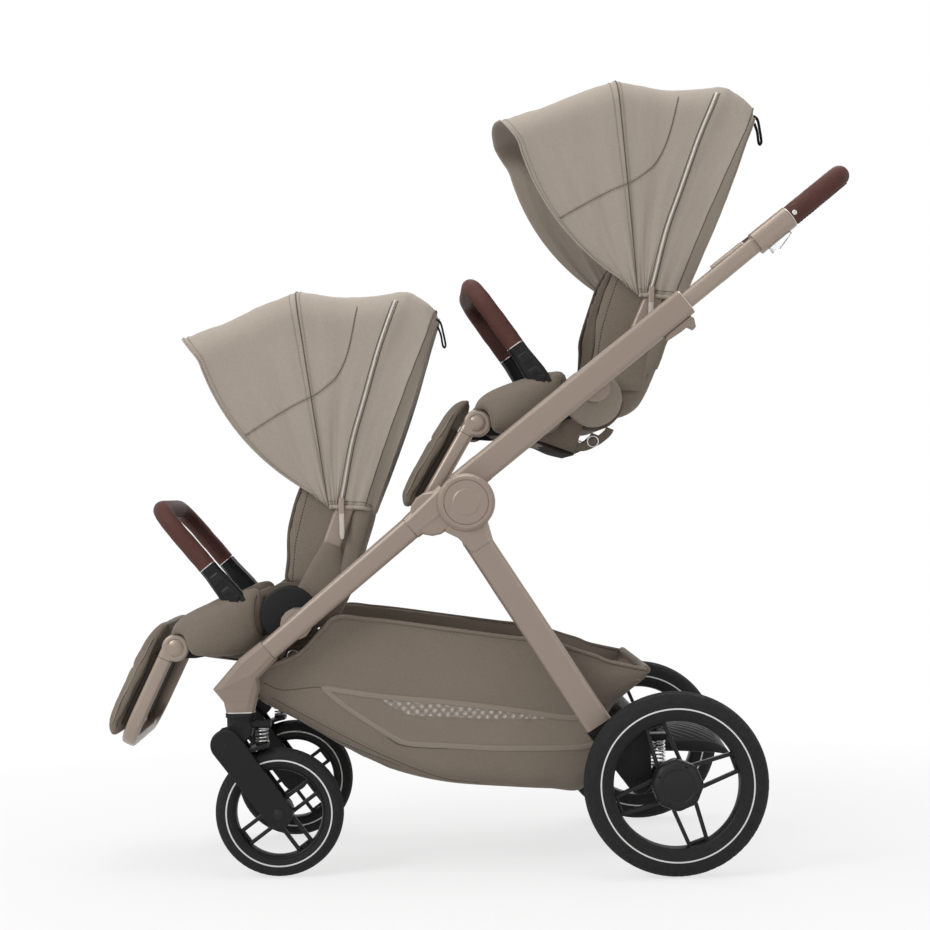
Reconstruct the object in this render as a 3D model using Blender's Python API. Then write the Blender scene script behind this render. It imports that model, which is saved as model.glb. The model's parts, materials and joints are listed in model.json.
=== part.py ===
"""Tandem pushchair: two seats, one above and behind the other, on a folding frame.

Metres, +Z up.  The front of the pushchair points along -X, and the ground is at Z = 0.
"""
import math

import bmesh
import bpy
from mathutils import Matrix, Vector

# Clearances
touch_gap = 0.0003
sharp_angle = 50
running_gap = 0.0005

# Rear wheels
rear_wheel_radius = 0.139
rear_tyre_width = 0.044
rear_rim_radius = 0.097
rear_track_half = 0.275
rear_axle_x = 0.293
rear_hub_radius = 0.038

# Front wheels
front_wheel_radius = 0.099
front_tyre_width = 0.038
front_rim_radius = 0.0685
front_track_half = 0.190
front_axle_x = -0.309
front_hub_radius = 0.022
caster_trail = 0.0565

# Parts that both wheel sizes share
axle_radius = 0.006
rim_depth = 0.010
rim_width = 0.030
spoke_width = 0.007
spoke_depth = 0.010
spoke_pairs = 4
tread_depth = 0.0012
rear_spoke_gap = 0.034
front_spoke_gap = 0.020
rear_wheel_steps = 28
front_wheel_steps = 24

# Fold hub
hub_x = -0.011
hub_z = 0.569
hub_radius = 0.0434
hub_groove_radius = 0.034
hub_button_radius = 0.021
fold_pin_radius = 0.010
wheel_to_leg = 0.040
layer_step = 0.0295
outer_layer_y = rear_track_half - wheel_to_leg
inner_layer_y = outer_layer_y - layer_step
tube_thickness = 0.026
disc_stand_out = 0.006
socket_bulge = (-0.063, 0.553)
socket_bulge_radius = 0.034

# Legs and upper tubes, as the ends of their centre lines in X and Z
front_leg_top = (-0.096, 0.532)
front_leg_foot = (-0.318, 0.350)
leg_foot_offset = 0.015
front_leg_foot_y = front_track_half + leg_foot_offset
front_leg_height = 0.035
rear_leg_top = (0.0105, 0.501)
rear_foot_rise = 0.087
rear_leg_foot = (0.182, rear_wheel_radius + rear_foot_rise)
rear_leg_height = 0.042
upper_tube_low = (0.0162, 0.6211)
upper_tube_high = (0.3333, 0.8675)
upper_tube_height = 0.043

# Telescopic handle
handle_tube_height = 0.026
handle_tube_thickness = 0.018
handle_tube_shown = 0.1405
handle_tube_hidden = 0.045
handle_travel = 0.100
collar_length = 0.0655
collar_height = 0.035
collar_thickness = 0.030
grip_radius = 0.0165
grip_arm_length = 0.108
grip_corner = 0.045

# Front knees, cross tube and casters
knee_bottom_rise = 0.154
knee_bottom_z = front_wheel_radius + knee_bottom_rise
caster_ring_radius = 0.0235
caster_ring_height = 0.006
caster_depth = 0.0207
swivel_pin_radius = 0.008
swivel_pin_length = 0.028
cross_tube_radius = 0.010
cross_tube_x = -0.352
cross_tube_rise = 0.017
cross_tube_z = knee_bottom_z + cross_tube_rise
fork_pivot_x = -0.387
fork_pivot_rise = 0.108
fork_pivot_z = front_wheel_radius + fork_pivot_rise
fork_pivot_radius = 0.0225
fork_end_radius = 0.0205
fork_plate = 0.008
fork_room = 0.0045
caster_lug_radius = 0.013
caster_lug_half_width = 0.0200
pivot_pin_radius = 0.005
front_spring_x = -0.333
front_spring_radius = 0.0085
front_spring_length = 0.024
bridge_thickness = 0.005
spring_wire_radius = 0.0016
spring_curls = 3.5

# Rear suspension and axle beam
arm_pivot_x = 0.242
arm_pivot_drop = 0.001
arm_pivot_z = rear_wheel_radius - arm_pivot_drop
arm_pivot_radius = 0.0165
arm_end_radius = 0.0145
leg_to_arm = 0.024
arm_layer_y = outer_layer_y - leg_to_arm
arm_thickness = 0.0200
foot_thickness = 0.025
beam_x = 0.238
beam_rise = 0.082
beam_z = rear_wheel_radius + beam_rise
beam_half_width = 0.018
beam_half_height = 0.015
rear_spring_x = 0.2745
rear_spring_rise = 0.0183
rear_spring_length = 0.0417
rear_spring_low_z = rear_wheel_radius + rear_spring_rise
rear_spring_high_z = rear_spring_low_z + rear_spring_length
rear_spring_radius = 0.0095

# Brake pedal
pedal_half_width = 0.075
pedal_hinge_x = 0.270
pedal_hinge_drop = 0.025
pedal_hinge_z = beam_z - pedal_hinge_drop
pedal_hinge_radius = 0.008
pedal_pin_radius = 0.004
pedal_end_x = 0.404
pedal_drop = 0.040
pedal_thickness = 0.005
pedal_ribs = 5

# Basket
knee_to_basket = 0.014
leg_to_basket = 0.047
basket_half_width_front = front_track_half - knee_to_basket
basket_half_width_rear = outer_layer_y - leg_to_basket
basket_peg_z = 0.325
basket_front_bend = -0.300
basket_rear_bend = 0.150
basket_wall = 0.003

# Seats: hubs in X and Z, and how the upper one differs in degrees
lower_seat_hub = (-0.290, 0.401)
upper_seat_hub = (0.193, 0.725)
upper_seat_tilt = 4.6
upper_back_recline = -1.2
seat_half_width = 0.1345
seat_disc_radius = 0.0435
seat_disc_thickness = 0.030
rail_thickness = 0.009
legrest_hinge = (-0.178, -0.048)
legrest_hinge_radius = 0.0215
legrest_disc_thickness = 0.0145
legrest_arm_width = 0.014
legrest_arm_height = 0.024
legrest_arm_lead = 0.008
legrest_foot = (-0.260, -0.196)
legrest_corner = 0.050
pad_half_width = 0.148
roll_radius = 0.050
adapter_radius = 0.024
canopy_pivot = (0.066, 0.165)
canopy_wall = 0.004
canopy_bulge = 0.016
bumper_stand_out = 0.0155
bumper_y = seat_half_width + bumper_stand_out
bumper_radius = 0.0145
bumper_low = (-0.084, 0.024)
bumper_joint = (-0.125, 0.076)
bumper_front = (-0.210, 0.178)
bumper_foot = 0.020
bumper_post_height = 0.016
bumper_post_length = 0.048
bumper_end_thickness = 0.029
bumper_plug_radius = 0.008
bumper_plug_length = 0.024

# Colours
taupe = (0.283, 0.223, 0.181)
cloth_light = (0.373, 0.325, 0.279)
cloth_dark = (0.202, 0.162, 0.125)
black = (0.010, 0.010, 0.010)
rubber = (0.021, 0.021, 0.021)
leather = (0.144, 0.077, 0.066)
steel = (0.55, 0.55, 0.55)
clear = (0.70, 0.70, 0.68)


# Scene and material helpers

def clear_scene():
    """Remove every object, so that the script always starts from nothing."""
    for leftover in list(bpy.data.objects):
        bpy.data.objects.remove(leftover, do_unlink=True)


def material(name, colour, roughness, metallic):
    """Return the named Principled material, made on its first use."""
    found = bpy.data.materials.get(name)
    if found:
        return found
    made = bpy.data.materials.new(name)
    made.use_nodes = True
    shader = made.node_tree.nodes["Principled BSDF"]
    shader.inputs["Base Color"].default_value = (*colour, 1.0)
    shader.inputs["Roughness"].default_value = roughness
    shader.inputs["Metallic"].default_value = metallic
    made.diffuse_color = (*colour, 1.0)
    return made


def paint(body, name, colour, roughness=0.6, metallic=0.0):
    """Give a body its one material and smooth shading with sharp corners kept."""
    body.data.materials.clear()
    body.data.materials.append(material(name, colour, roughness, metallic))
    for face in body.data.polygons:
        face.use_smooth = True
    body.data.set_sharp_from_angle(angle=math.radians(sharp_angle))
    return body


def solid_from(mesh_builder, name):
    """Turn a finished bmesh into an object whose faces point outward."""
    bmesh.ops.remove_doubles(mesh_builder, verts=mesh_builder.verts, dist=0.000001)
    bmesh.ops.recalc_face_normals(mesh_builder, faces=mesh_builder.faces)
    if mesh_builder.calc_volume(signed=True) < 0:
        bmesh.ops.reverse_faces(mesh_builder, faces=mesh_builder.faces)
    mesh = bpy.data.meshes.new(name)
    mesh_builder.to_mesh(mesh)
    mesh_builder.free()
    body = bpy.data.objects.new(name, mesh)
    bpy.context.scene.collection.objects.link(body)
    return body


def combine(body, tool, operation):
    """Join or cut a body with a second solid, and drop that solid."""
    step = body.modifiers.new(operation.lower(), "BOOLEAN")
    step.operation = operation
    step.solver = "EXACT"
    step.object = tool
    depsgraph = bpy.context.evaluated_depsgraph_get()
    result = bpy.data.meshes.new_from_object(body.evaluated_get(depsgraph))
    body.modifiers.clear()
    body.data = result
    bpy.data.objects.remove(tool, do_unlink=True)
    return body


def join(body, *others):
    """Fuse several solids that overlap into one closed body."""
    for other in others:
        combine(body, other, "UNION")
    return body


def cut(body, *tools):
    """Take several solids out of a body."""
    for tool in tools:
        combine(body, tool, "DIFFERENCE")
    return body


def place(body, pivot, frame=Matrix.Identity(4)):
    """Move a body by its frame and put its origin on the pivot."""
    origin = frame @ Vector(pivot)
    body.data.transform(Matrix.Translation(-origin) @ frame)
    body.location = origin
    return body


def mirror(body, side):
    """Flip a body to the other side of the middle plane where side is -1."""
    if side < 0:
        body.data.transform(Matrix.Scale(-1, 4, (0, 1, 0)))
        body.data.flip_normals()
    return body


# Shape helpers

def rounded_rectangle(width, height, corner, steps=2):
    """Outline of a rounded rectangle, as pairs across and up."""
    outline = []
    for quarter in range(4):
        turn = quarter * math.pi / 2
        x_sign = 1 if quarter in (0, 3) else -1
        y_sign = 1 if quarter in (0, 1) else -1
        for step in range(steps + 1):
            angle = turn + step * math.pi / 2 / steps
            outline.append((
                x_sign * (width / 2 - corner) + corner * math.cos(angle),
                y_sign * (height / 2 - corner) + corner * math.sin(angle),
            ))
    return outline


def circle_section(radius, count=12):
    """Outline of a circle, as pairs across and up."""
    return [
        (radius * math.cos(2 * math.pi * i / count), radius * math.sin(2 * math.pi * i / count))
        for i in range(count)
    ]


def ring_at(point, tangent, section, up=Vector((0, 0, 1))):
    """Place a section square to a tangent at a point."""
    tangent = tangent.normalized()
    across = tangent.cross(up).normalized()
    rise = across.cross(tangent).normalized()
    return [point + across * a + rise * b for a, b in section]


def skin(name, rings):
    """Closed solid over rings of points, with a flat face at each end."""
    builder = bmesh.new()
    loops = [[builder.verts.new(point) for point in ring] for ring in rings]
    count = len(rings[0])
    for first, second in zip(loops, loops[1:]):
        for i in range(count):
            j = (i + 1) % count
            builder.faces.new((first[i], first[j], second[j], second[i]))
    builder.faces.new(loops[0])
    builder.faces.new(loops[-1])
    return solid_from(builder, name)


def bent_path(corners, radius, steps=4):
    """Path through corner points, with each inner corner rounded."""
    path = [Vector(corners[0])]
    for before, corner, after in zip(corners, corners[1:], corners[2:]):
        corner = Vector(corner)
        back = (Vector(before) - corner).normalized() * radius
        ahead = (Vector(after) - corner).normalized() * radius
        for step in range(steps + 1):
            t = step / steps
            start = (corner + back) * (1 - t) ** 2
            path.append(start + corner * 2 * t * (1 - t) + (corner + ahead) * t ** 2)
    path.append(Vector(corners[-1]))
    return path


def sweep(name, path, section, up=Vector((0, 0, 1))):
    """Closed solid of one section carried along a path."""
    rings = []
    for i, point in enumerate(path):
        before = path[max(i - 1, 0)]
        after = path[min(i + 1, len(path) - 1)]
        first = (point - before).normalized()
        second = (after - point).normalized()
        rings.append(ring_at(point, first + second, section, up))
    return skin(name, rings)


def belt(circles, steps=12):
    """Outline of a belt drawn tight round circles given as x, z and radius."""
    points = []
    for x, z, radius in circles:
        for i in range(steps):
            angle = 2 * math.pi * i / steps
            points.append((x + radius * math.cos(angle), z + radius * math.sin(angle)))
    points = sorted(set(points))

    def half(ordered):
        chain = []
        for point in ordered:
            while len(chain) > 1 and turns_right(chain[-2], chain[-1], point):
                chain.pop()
            chain.append(point)
        return chain[:-1]

    return half(points) + half(points[::-1])


def turns_right(first, second, third):
    """Tell whether three points fail to turn left."""
    area = (second[0] - first[0]) * (third[1] - first[1])
    area -= (second[1] - first[1]) * (third[0] - first[0])
    return area <= 1e-12


def plate(name, outline, low_y, high_y, edge=0.0):
    """Solid plate with a side outline in X and Z, and its rims bevelled."""
    builder = bmesh.new()
    loops = []
    for y in (low_y, high_y):
        loops.append([builder.verts.new((x, y, z)) for x, z in outline])
    count = len(outline)
    for i in range(count):
        j = (i + 1) % count
        builder.faces.new((loops[0][i], loops[0][j], loops[1][j], loops[1][i]))
    caps = [builder.faces.new(loop) for loop in loops]
    bmesh.ops.recalc_face_normals(builder, faces=builder.faces)
    if edge:
        rims = [side for cap in caps for side in cap.edges]
        bmesh.ops.bevel(builder, geom=rims, offset=edge, segments=1, affect="EDGES")
    return solid_from(builder, name)


def turned(name, profile, centre, axis="Y", steps=28, ring=False):
    """Solid turned about an axis from pairs of radius and height along it."""
    builder = bmesh.new()
    direction = Vector((0, 1, 0)) if axis == "Y" else Vector((0, 0, 1))
    verts = [builder.verts.new(Vector((r, 0, 0)) + direction * h) for r, h in profile]
    pairs = list(zip(verts, verts[1:]))
    if ring:
        pairs.append((verts[-1], verts[0]))
    edges = [builder.edges.new(pair) for pair in pairs]
    bmesh.ops.spin(
        builder, geom=verts + edges, cent=(0, 0, 0), axis=direction,
        angle=2 * math.pi, steps=steps, use_merge=True, use_duplicate=False,
    )
    bmesh.ops.translate(builder, verts=builder.verts, vec=Vector(centre))
    return solid_from(builder, name)


def pin(name, start, end, radius, count=10):
    """Plain round bar between two points."""
    start = Vector(start)
    end = Vector(end)
    along = end - start
    up = Vector((1, 0, 0)) if abs(along.normalized().x) < 0.9 else Vector((0, 0, 1))
    rings = [ring_at(point, along, circle_section(radius, count), up) for point in (start, end)]
    return skin(name, rings)


def block(name, low, high, edge=0.0):
    """Box between two corners."""
    outline = [(low[0], low[2]), (high[0], low[2]), (high[0], high[2]), (low[0], high[2])]
    return plate(name, outline, low[1], high[1], edge)


def line_point(start, end, share):
    """Point at a share of the way from start to end."""
    return Vector(start).lerp(Vector(end), share)


def flat(point, y):
    """Point of the side view at a distance from the middle plane."""
    return Vector((point[0], y, point[1]))


# Wheels

def build_tyre(name, radius, rim_radius, width, centre, side, steps):
    """Tyre with rounded shoulders and a row of shallow notches."""
    depth = radius - rim_radius
    half = [
        (rim_radius, 0.36), (rim_radius + 0.40 * depth, 0.5), (radius - 0.20 * depth, 0.43),
        (radius - 0.04 * depth, 0.25),
    ]
    profile = [(r, -share * width) for r, share in half] + [(radius, 0.0)]
    profile += [(r, share * width) for r, share in reversed(half)]
    body = turned(name, profile, (0, 0, 0), steps=steps, ring=True)
    shoulder = radius - 0.21 * depth
    for vertex in body.data.vertices:
        reach = math.hypot(vertex.co.x, vertex.co.z)
        step = round(math.atan2(vertex.co.z, vertex.co.x) / (2 * math.pi / steps))
        if step % 2 and reach > shoulder and abs(vertex.co.y) > 0.1 * width:
            vertex.co.x *= 1 - tread_depth / reach
            vertex.co.z *= 1 - tread_depth / reach
    body.data.transform(Matrix.Translation((centre[0], side * centre[1], centre[2])))
    paint(body, "tyre_rubber", rubber, 0.8)
    return place(body, (centre[0], side * centre[1], centre[2]))


def build_rim(name, rim_radius, hub, spoke_gap, turn, centre, side, steps):
    """Rim ring, twin spokes and hub, fused as one casting."""
    outer = rim_radius - touch_gap
    inner = outer - rim_depth
    half = rim_width / 2
    ring = [(outer, -half), (outer, half), (inner, half - 0.005), (inner, 0.005 - half)]
    body = turned(name, ring, (0, 0, 0), steps=steps, ring=True)
    hub_radius = max(radius for radius, height in hub)
    closed = hub[0][0] == 0.0
    spokes = []
    for pair in range(spoke_pairs):
        for offset in (-spoke_gap / 2, spoke_gap / 2):
            start = math.sqrt((hub_radius - 0.004) ** 2 - offset ** 2)
            end = math.sqrt((inner + 0.004) ** 2 - offset ** 2)
            bar = block(
                "spoke", (start, -spoke_depth / 2, offset - spoke_width / 2),
                (end, spoke_depth / 2, offset + spoke_width / 2),
            )
            bar.data.transform(Matrix.Rotation(turn + pair * 2 * math.pi / spoke_pairs, 4, "Y"))
            spokes.append(bar)
    join(body, turned("hub", hub, (0, 0, 0), steps=12, ring=not closed), *spokes)
    mirror(body, side)
    body.data.transform(Matrix.Translation((centre[0], side * centre[1], centre[2])))
    paint(body, "rim_plastic", (0.025, 0.025, 0.025), 0.4)
    return place(body, (centre[0], side * centre[1], centre[2]))


def rear_hub_profile():
    """Hub with a domed cap outside and a blind bore inside."""
    bore = axle_radius + running_gap
    inside = rear_wheel_hub_inside()
    return [
        (0.0, 0.027), (0.020, 0.027), (0.031, 0.0255), (rear_hub_radius, 0.018),
        (rear_hub_radius, -0.010), (0.017, inside), (bore, inside), (bore, 0.017), (0.0, 0.017),
    ]


def rear_wheel_hub_inside():
    """Inner end of the rear wheel hub, measured from the wheel's middle."""
    return -0.022


def front_hub_profile():
    """Hub with a through bore for the fork's axle."""
    bore = axle_radius + running_gap
    half = front_hub_half_length()
    return [
        (bore, -half), (0.013, -half), (front_hub_radius, 0.006 - half),
        (front_hub_radius, half - 0.006), (0.013, half), (bore, half),
    ]


def front_hub_half_length():
    """Half length of the front hub, which runs between the fork's plates."""
    return front_tyre_width / 2 + fork_room - touch_gap


def build_wheels(side, tag):
    """Both wheels of one side."""
    rear = (rear_axle_x, rear_track_half, rear_wheel_radius)
    front = (front_axle_x, front_track_half, front_wheel_radius)
    build_tyre(
        "rear_tyre_" + tag, rear_wheel_radius, rear_rim_radius, rear_tyre_width, rear, side,
        rear_wheel_steps,
    )
    build_rim(
        "rear_rim_" + tag, rear_rim_radius, rear_hub_profile(), rear_spoke_gap, math.radians(-15), rear,
        side, rear_wheel_steps,
    )
    build_tyre(
        "front_tyre_" + tag, front_wheel_radius, front_rim_radius, front_tyre_width, front, side,
        front_wheel_steps,
    )
    build_rim(
        "front_rim_" + tag, front_rim_radius, front_hub_profile(), front_spoke_gap, math.radians(20),
        front, side, front_wheel_steps,
    )


# Springs

def build_spring(name, low, high, radius, y, x, side):
    """Coil spring as one unbroken tube, with straight ends."""
    low_wire = low + touch_gap + spring_wire_radius
    high_wire = high - touch_gap - spring_wire_radius
    points_per_curl = 9
    total = int(spring_curls * points_per_curl)
    path = []
    for i in range(total + 1):
        angle = 2 * math.pi * i / points_per_curl
        height = low_wire + (high_wire - low_wire) * i / total
        path.append(Vector((radius * math.cos(angle), radius * math.sin(angle), height)))
    lead = 2 * spring_wire_radius
    start_tangent = Vector((0, 1, 0))
    end_angle = 2 * math.pi * total / points_per_curl
    end_tangent = Vector((-math.sin(end_angle), math.cos(end_angle), 0))
    path.insert(0, path[0] - start_tangent * lead)
    path.append(path[-1] + end_tangent * lead)
    print(name, "least gap to itself", round(least_self_gap(path, points_per_curl) * 1000, 2), "mm")
    body = wire_tube(name, path)
    body.data.transform(Matrix.Translation((x, y * side, 0)))
    paint(body, "spring_steel", steel, 0.3, 1.0)
    return body


def least_self_gap(path, points_per_curl):
    """Least clear distance between two stretches of the wire on a spring."""
    least = 1.0
    for i, first in enumerate(path):
        for second in path[i + points_per_curl // 2:]:
            least = min(least, (first - second).length)
    return least - 2 * spring_wire_radius


def wire_tube(name, path):
    """Round wire along a path, from a curve with a bevel and closed ends."""
    curve = bpy.data.curves.new(name, "CURVE")
    curve.dimensions = "3D"
    curve.bevel_depth = spring_wire_radius
    curve.bevel_resolution = 1
    curve.use_fill_caps = True
    curve.render_resolution_u = 0
    spline = curve.splines.new("POLY")
    spline.points.add(len(path) - 1)
    for point, position in zip(spline.points, path):
        point.co = (*position, 1.0)
    carrier = bpy.data.objects.new(name + "_path", curve)
    bpy.context.scene.collection.objects.link(carrier)
    depsgraph = bpy.context.evaluated_depsgraph_get()
    mesh = bpy.data.meshes.new_from_object(carrier.evaluated_get(depsgraph))
    bpy.data.objects.remove(carrier, do_unlink=True)
    builder = bmesh.new()
    builder.from_mesh(mesh)
    return solid_from(builder, name)


# Fold hubs, legs and upper tubes

def build_hub_housing(side, tag):
    """Hub disc with the sockets of both legs and the pin of the upper tube."""
    inner = outer_layer_y - tube_thickness / 2 - 0.002
    outer = outer_layer_y + tube_thickness / 2 + 0.002
    face = outer + disc_stand_out
    disc = [
        (0.0, face + 0.001), (hub_button_radius - 0.002, face + 0.001), (hub_button_radius, face),
        (hub_groove_radius - 0.001, face), (hub_groove_radius, face - 0.001),
        (hub_groove_radius + 0.001, face), (hub_radius - 0.004, face), (hub_radius, face - 0.004),
        (hub_radius, inner), (0.0, inner),
    ]
    body = turned("hub_housing_" + tag, disc, (hub_x, 0, hub_z), steps=24)
    front_end = flat(front_leg_top, outer_layer_y)
    rear_end = flat(rear_leg_top, outer_layer_y)
    centre = Vector((hub_x, outer_layer_y, hub_z))
    front_way = flat(front_leg_foot, outer_layer_y) - front_end
    rear_way = flat(rear_leg_foot, outer_layer_y) - rear_end
    thick = tube_thickness + 0.003
    front_root = front_end - front_way.normalized() * 0.075
    sockets = [
        skin("front_socket", [
            ring_at(front_root, front_way, rounded_rectangle(thick, 0.046, 0.009)),
            ring_at(front_end, front_way, rounded_rectangle(thick, front_leg_height + 0.003, 0.009)),
        ]),
        skin("rear_socket", [
            ring_at(centre, rear_way, rounded_rectangle(thick, 0.050, 0.009)),
            ring_at(rear_end, rear_way, rounded_rectangle(thick, 0.042, 0.009)),
        ]),
    ]
    pin_end = inner_layer_y - tube_thickness / 2
    fold_pin = pin("fold_pin", (hub_x, pin_end, hub_z), (hub_x, outer_layer_y, hub_z), fold_pin_radius)
    bulge = turned("bulge", [
        (0.0, outer - 0.002), (socket_bulge_radius - 0.003, outer - 0.002),
        (socket_bulge_radius, outer - 0.005), (socket_bulge_radius, inner + 0.004), (0.0, inner + 0.004),
    ], (socket_bulge[0], 0, socket_bulge[1]), steps=16)
    web = plate("web", [
        (hub_x, hub_z), (-0.0450, 0.5255), (-0.0245, 0.5150), (-0.0127, 0.5025), (-0.0040, 0.4925),
        (0.0100, 0.5020),
    ], inner + 0.001, outer - 0.001, 0.001)
    join(body, *sockets, fold_pin, bulge, web)
    mirror(body, side)
    paint(body, "hub_plastic", (0.147, 0.105, 0.076), 0.5)
    return place(body, (hub_x, 0, hub_z))


def build_front_leg(side, tag):
    """Front leg tube with the round adapter that carries the lower seat."""
    start = flat(front_leg_top, outer_layer_y)
    end = flat(front_leg_foot, front_leg_foot_y)
    way = (end - start).normalized()
    square_way = flat(front_leg_foot, outer_layer_y) - start
    start = start + square_way.normalized() * touch_gap
    top = rounded_rectangle(tube_thickness, front_leg_height, 0.010)
    bottom = rounded_rectangle(tube_thickness, front_leg_height - 0.003, 0.010)
    body = skin("front_leg_" + tag, [ring_at(start, square_way, top), ring_at(end, way, bottom)])
    adapter_x = lower_seat_hub[0] + 0.014
    share = (adapter_x - start.x) / (end.x - start.x)
    middle = line_point(start, end, share)
    inner = seat_half_width + touch_gap + seat_disc_thickness + touch_gap
    boss = turned("adapter", [
        (0.0, inner), (adapter_radius - 0.002, inner), (adapter_radius, inner + 0.002),
        (adapter_radius, middle.y), (0.0, middle.y),
    ], (middle.x, 0, middle.z + 0.004), steps=14)
    join(body, boss)
    mirror(body, side)
    return paint(body, "frame_taupe", taupe, 0.45, 0.2)


def knee_rings():
    """Sections of the front knee, from the leg's end down to the caster."""
    way = flat(front_leg_foot, front_leg_foot_y) - flat(front_leg_top, outer_layer_y)
    way.normalize()
    start = flat(front_leg_foot, front_leg_foot_y) + way * touch_gap
    first = ring_at(start, way, rounded_rectangle(0.030, 0.036, 0.009))
    bend = ring_at(
        Vector((-0.350, front_track_half + 0.010, knee_bottom_z + 0.069)), Vector((-0.72, -0.1, -0.68)),
        rounded_rectangle(0.033, 0.042, 0.010),
    )
    rings = [first, bend]
    across = Vector((1, 0, 0))
    stations = [(-0.3705, 0.003, 0.038, 0.072), (-0.3655, 0.0, 0.017, 0.050)]
    for x, offset, rise, length in stations:
        section = rounded_rectangle(0.036, length, 0.012)
        middle = Vector((x, front_track_half + offset, knee_bottom_z + rise))
        rings.append(ring_at(middle, Vector((0, 0, -1)), section, -across))
    bottom = Vector((caster_axis_x(), front_track_half, knee_bottom_z))
    rings.append(ring_at(bottom, Vector((0, 0, -1)), rounded_rectangle(0.036, 0.043, 0.012), -across))
    return rings


def caster_axis_x():
    """Swivel axis of the caster, which leads the axle by its trail."""
    return front_axle_x - caster_trail


def build_front_knee(side, tag):
    """Moulded knee with a blind bore for the caster's swivel pin."""
    body = skin("front_knee_" + tag, knee_rings())
    bore = pin(
        "bore", (caster_axis_x(), front_track_half, knee_bottom_z - 0.01),
        (caster_axis_x(), front_track_half, knee_bottom_z + swivel_pin_length + 0.001),
        swivel_pin_radius + running_gap,
    )
    cut(body, bore)
    mirror(body, side)
    return paint(body, "knee_plastic", (0.270, 0.212, 0.171), 0.5)


def build_cross_tube():
    """Round tube between the two knees."""
    half = front_track_half - 0.018 - touch_gap
    body = pin(
        "front_cross_tube", (cross_tube_x, -half, cross_tube_z), (cross_tube_x, half, cross_tube_z),
        cross_tube_radius,
    )
    return paint(body, "black_metal", black, 0.4, 0.3)


def build_rear_leg(side, tag):
    """Rear leg tube between the hub and the rear foot, with a basket peg."""
    start = flat(rear_leg_top, outer_layer_y)
    end = flat(rear_leg_foot, outer_layer_y)
    way = (end - start).normalized()
    start = start + way * touch_gap
    end = end - way * touch_gap
    top = rounded_rectangle(tube_thickness, rear_leg_height - 0.003, 0.010)
    wide = rounded_rectangle(tube_thickness, rear_leg_height, 0.010)
    body = skin("rear_leg_" + tag, [
        ring_at(start, way, top), ring_at(line_point(start, end, 0.3), way, wide),
        ring_at(end, way, wide),
    ])
    peg_x = start.x + (end.x - start.x) * (start.z - basket_peg_z) / (start.z - end.z)
    inner = basket_half_width(peg_x) + touch_gap
    join(body, pin(
        "peg", (peg_x, inner, basket_peg_z), (peg_x, outer_layer_y, basket_peg_z), 0.006,
    ))
    mirror(body, side)
    return paint(body, "frame_taupe", taupe, 0.45, 0.2)


def build_upper_tube(side, tag):
    """Upper tube that folds about the hub, with its eye, bore and seat adapter."""
    low = flat(upper_tube_low, inner_layer_y)
    high = flat(upper_tube_high, inner_layer_y)
    way = (high - low).normalized()
    section = rounded_rectangle(tube_thickness, upper_tube_height, 0.010)
    body = skin("upper_tube_" + tag, [
        ring_at(low - way * 0.022, way, section), ring_at(high, way, section),
    ])
    face_in = inner_layer_y - tube_thickness / 2
    face_out = inner_layer_y + tube_thickness / 2
    bore = fold_pin_radius + running_gap
    eye_radius = hub_radius - 0.003
    eye = turned("eye", [
        (bore, face_in), (eye_radius, face_in), (eye_radius, face_out), (bore, face_out),
    ], (hub_x, 0, hub_z), steps=20, ring=True)
    inner = seat_half_width + 2 * touch_gap + seat_disc_thickness
    along = (upper_seat_hub[0] - low.x) / (high.x - low.x)
    middle = line_point(low, high, along)
    adapter_z = (middle.z + upper_seat_hub[1]) / 2
    boss = turned("adapter", [
        (0.0, inner), (adapter_radius - 0.002, inner), (adapter_radius, inner + 0.002),
        (adapter_radius, face_in + 0.006), (0.0, face_in + 0.006),
    ], (middle.x, 0, adapter_z), steps=14)
    join(body, eye, boss)
    room = rounded_rectangle(
        handle_tube_thickness + 2 * running_gap, handle_tube_height + 2 * running_gap, 0.007,
    )
    depth = handle_tube_hidden + handle_travel + 0.004
    cut(body, skin("room", [
        ring_at(high - way * depth, way, room), ring_at(high + way * 0.01, way, room),
    ]))
    mirror(body, side)
    paint(body, "frame_taupe", taupe, 0.45, 0.2)
    return place(body, (hub_x, 0, hub_z))


def build_fold_trigger(side, tag):
    """Fold trigger that slides along the underside of the upper tube."""
    low = Vector(upper_tube_low)
    high = Vector(upper_tube_high)
    way = (high - low).normalized()
    down = Vector((way.y, -way.x))
    start = high - way * 0.060 + down * (upper_tube_height / 2 + touch_gap)

    def at(along, below):
        point = start + way * along + down * below
        return (point.x, point.y)

    outline = [
        at(0.004, 0.0), at(0.052, 0.0), at(0.054, 0.006), at(0.048, 0.018), at(0.042, 0.019),
        at(0.038, 0.010), at(0.026, 0.010), at(0.004, 0.008), at(0.0, 0.004),
    ]
    body = plate("fold_trigger_" + tag, outline, inner_layer_y - 0.009, inner_layer_y + 0.009, 0.001)
    mirror(body, side)
    paint(body, "trigger_plastic", (0.292, 0.231, 0.184), 0.5)
    return place(body, (start.x, side * inner_layer_y, start.y))


# Handle

def handle_axis():
    """Direction of the upper tubes, along which the handle slides."""
    return (flat(upper_tube_high, 0) - flat(upper_tube_low, 0)).normalized()


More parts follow.
